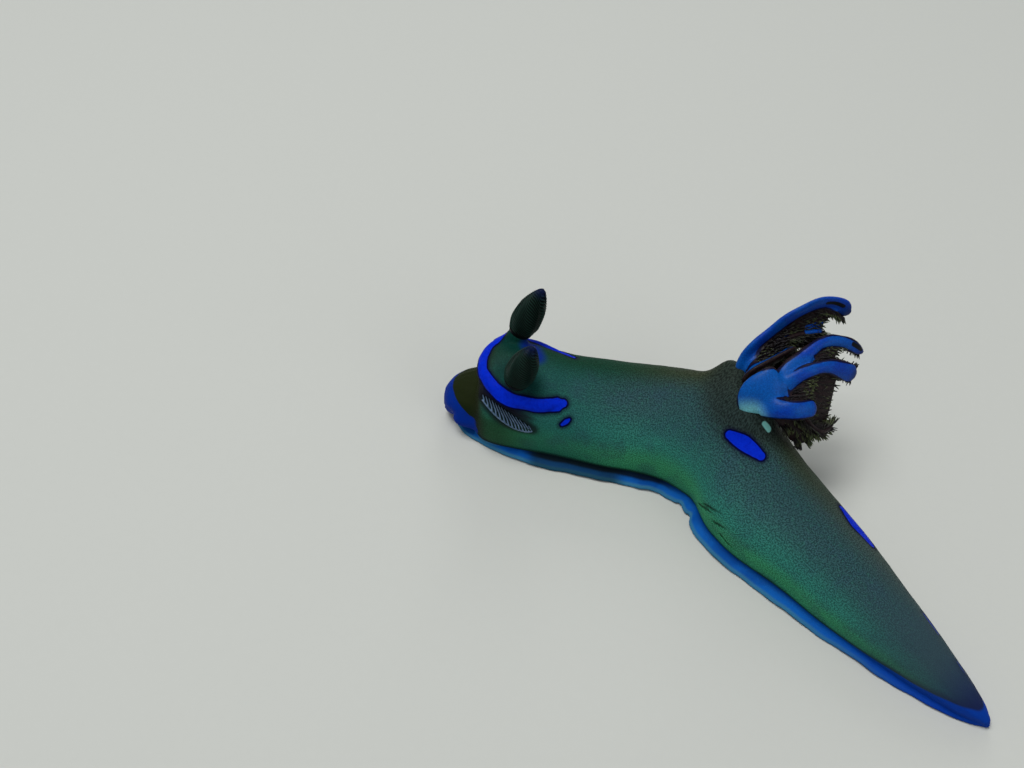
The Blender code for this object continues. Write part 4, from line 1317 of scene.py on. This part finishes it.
def floor_material(settings):
    # Matt paper backdrop: even and pale, with no gloss.
    floor = Recipe("matt_paper_backdrop")
    tone = floor.noise(floor.add("TexCoord", output=3), 900.0)
    colour = floor.layers(settings.floor, ("A8AAA4", floor.times(tone, 0.06)))
    return floor.finish(colour, 0.9, coat=0.0, gloss=0.1)


def build_stage(settings):
    """A plain pale floor, soft light from above and the camera of the photograph."""
    scene = bpy.context.scene
    mesh = bpy.data.meshes.new("floor")
    reach = 1.2
    corners = [(-reach, -reach, 0), (reach, -reach, 0), (reach, reach, 0), (-reach, reach, 0)]
    mesh.from_pydata(corners, [], [(0, 1, 2, 3)])
    mesh.materials.append(floor_material(settings))
    linked("floor", mesh)
    scene.view_settings.view_transform = "Standard"
    add_light("key_light", (-0.16, 0.02, 0.60), 0.30, settings.key_power)
    add_light("fill_light", (0.45, -0.40, 0.35), 0.40, settings.fill_power)
    add_light("back_light", (0.10, 0.60, 0.35), 0.30, settings.fill_power)
    world = bpy.data.worlds.new("studio")
    world.use_nodes = True
    world.node_tree.nodes["Background"].inputs["Color"].default_value = linear("E6EAF0")
    world.node_tree.nodes["Background"].inputs["Strength"].default_value = settings.surround
    scene.world = world
    data = bpy.data.cameras.new("camera")
    data.lens, data.sensor_width = CAMERA_LENS, CAMERA_SENSOR
    data.clip_start, data.clip_end = 0.005, 10.0
    camera = linked("camera", data)
    camera.location = [value * MM for value in CAMERA_PLACE]
    camera.rotation_euler = (math.radians(90) - CAMERA_DOWN, 0.0, 0.0)
    scene.camera = camera


def add_light(name, location, size, power):
    data = bpy.data.lights.new(name, "AREA")
    data.energy, data.size = power, size
    light = linked(name, data)
    light.location = location
    light.rotation_euler = (Vector((0, 0, 0)) - Vector(location)).to_track_quat("-Z", "Y").to_euler()


def hue(name, description, code):
    return FloatVectorProperty(
        name=name, description=description, subtype="COLOR", size=4, min=0.0, max=1.0, default=linear(code)
    )


def length(name, description, metres):
    return FloatProperty(
        name=name, description=description, unit="LENGTH", precision=5, min=0.0, default=metres
    )


def power(name, description, watts):
    return FloatProperty(name=name, description=description, unit="POWER", min=0.0, default=watts)


class SlugSkinSettings(bpy.types.PropertyGroup):
    """Colours and relief of the body's skin."""

    back: hue("Back", "Colour along the middle of the back", "22403A")
    flank: hue("Flank", "Colour of the sides", "2C6E62")
    low_flank: hue("Low flank", "Colour just above the foot", "36885F")
    band: hue("Band and spots", "Colour of the head's band and the spots", "0129C4")
    foot: hue("Foot", "Colour of the foot's edge", "0A5AAE")
    band_half_width: length("Band half width", "Half the width of the band round the head", 0.00076)
    swelling: length("Swelling", "Depth of the skin's soft swellings", 0.00006)


class SlugFoldSettings(bpy.types.PropertyGroup):
    """The pale folds in the slots of the head."""

    colour: hue("Folds", "Colour of the folds", "6C88A8")
    count: IntProperty(name="Folds", description="Number of folds in each slot", default=14, min=1, max=40)
    thickness: length("Thickness", "Half the thickness of one fold", 0.00009)


class SlugRhinophoreSettings(bpy.types.PropertyGroup):
    """The two leafy feelers."""

    leaf_edge: hue("Leaf edge", "Colour along the edge of each leaf", "1E3A32")
    leaves: IntProperty(name="Leaves", description="Number of leaves on each club", default=25, min=4, max=60)


class SlugGillSettings(bpy.types.PropertyGroup):
    """The gill leaves and their filaments."""

    blade: hue("Blade", "Colour of the outer face", "003596")
    filament_tip_highlight: hue("Filament tips", "Colour of the filaments' tips", "4C5730")
    filament_length: length("Filament length", "Length of a filament half way along a leaf", 0.001)
    filament_radius: length("Filament radius", "Radius of a filament at its root", 0.0001)


class SlugStageSettings(bpy.types.PropertyGroup):
    """Floor and light."""

    floor: hue("Floor", "Colour of the floor", "C6C8C2")
    key_power: power("Key light", "Power of the key light", 2.6)
    fill_power: power("Fill light", "Power of each fill light", 0.7)
    surround: FloatProperty(name="Surround", description="Strength of the even light all round", default=0.30)


class SLUG_OT_skin(bpy.types.Operator):
    """Builds the skin over body, head and foot, with its markings"""

    bl_idname = "slug.skin"
    bl_label = "Body skin"

    def execute(self, context):
        build_skin(context.scene.slug_skin)
        return {"FINISHED"}


class SLUG_OT_folds(bpy.types.Operator):
    """Builds the pale folds across the slots of the head"""

    bl_idname = "slug.folds"
    bl_label = "Slot folds"

    def execute(self, context):
        build_folds(context.scene.slug_folds)
        return {"FINISHED"}


class SLUG_OT_rhinophores(bpy.types.Operator):
    """Builds the leafy clubs of the two rhinophores"""

    bl_idname = "slug.rhinophores"
    bl_label = "Rhinophores"

    def execute(self, context):
        settings = context.scene.slug_rhinophores
        material = club_material(settings)
        for rhinophore in RHINOPHORES:
            build_club(rhinophore, settings, material)
        return {"FINISHED"}


class SLUG_OT_gills(bpy.types.Operator):
    """Builds the gill leaves, each as one blue and plum sheet"""

    bl_idname = "slug.gills"
    bl_label = "Gill leaves"

    def execute(self, context):
        material = gill_material(context.scene.slug_gills)
        for leaf in LEAVES:
            build_blade(leaf, material)
        return {"FINISHED"}


class SLUG_OT_filaments(bpy.types.Operator):
    """Builds the filaments that fringe the gill leaves"""

    bl_idname = "slug.filaments"
    bl_label = "Gill filaments"

    def execute(self, context):
        settings = context.scene.slug_gills
        material = filament_material(settings)
        for seed, leaf in enumerate(LEAVES):
            build_filaments(leaf, seed, settings, material)
        return {"FINISHED"}


class SLUG_OT_stage(bpy.types.Operator):
    """Builds the floor, the lights and the camera"""

    bl_idname = "slug.stage"
    bl_label = "Stage"

    def execute(self, context):
        build_stage(context.scene.slug_stage)
        return {"FINISHED"}


class SLUG_PT_panel(bpy.types.Panel):
    """Lists the pieces of the slug with their settings"""

    bl_idname = "SLUG_PT_panel"
    bl_label = "Sea slug"
    bl_space_type = "VIEW_3D"
    bl_region_type = "UI"
    bl_category = "Sea slug"

    def draw(self, context):
        for group, kind, operators in PANEL_ROWS:
            box = self.layout.box()
            for setting in kind.__annotations__:
                box.prop(getattr(context.scene, group), setting)
            for operator in operators:
                box.operator(operator.bl_idname)


PANEL_ROWS = (
    ("slug_skin", SlugSkinSettings, (SLUG_OT_skin,)),
    ("slug_folds", SlugFoldSettings, (SLUG_OT_folds,)),
    ("slug_rhinophores", SlugRhinophoreSettings, (SLUG_OT_rhinophores,)),
    ("slug_gills", SlugGillSettings, (SLUG_OT_gills, SLUG_OT_filaments)),
    ("slug_stage", SlugStageSettings, (SLUG_OT_stage,)),
)


def register():
    for group, kind, operators in PANEL_ROWS:
        bpy.utils.register_class(kind)
        setattr(bpy.types.Scene, group, PointerProperty(type=kind))
        for operator in operators:
            bpy.utils.register_class(operator)
    bpy.utils.register_class(SLUG_PT_panel)


def unregister():
    bpy.utils.unregister_class(SLUG_PT_panel)
    for group, kind, operators in reversed(PANEL_ROWS):
        for operator in operators:
            bpy.utils.unregister_class(operator)
        delattr(bpy.types.Scene, group)
        bpy.utils.unregister_class(kind)


def main():
    register()
    bpy.ops.slug.skin()
    bpy.ops.slug.folds()
    bpy.ops.slug.rhinophores()
    bpy.ops.slug.gills()
    bpy.ops.slug.filaments()
    bpy.ops.slug.stage()


if __name__ == "__main__":
    main()
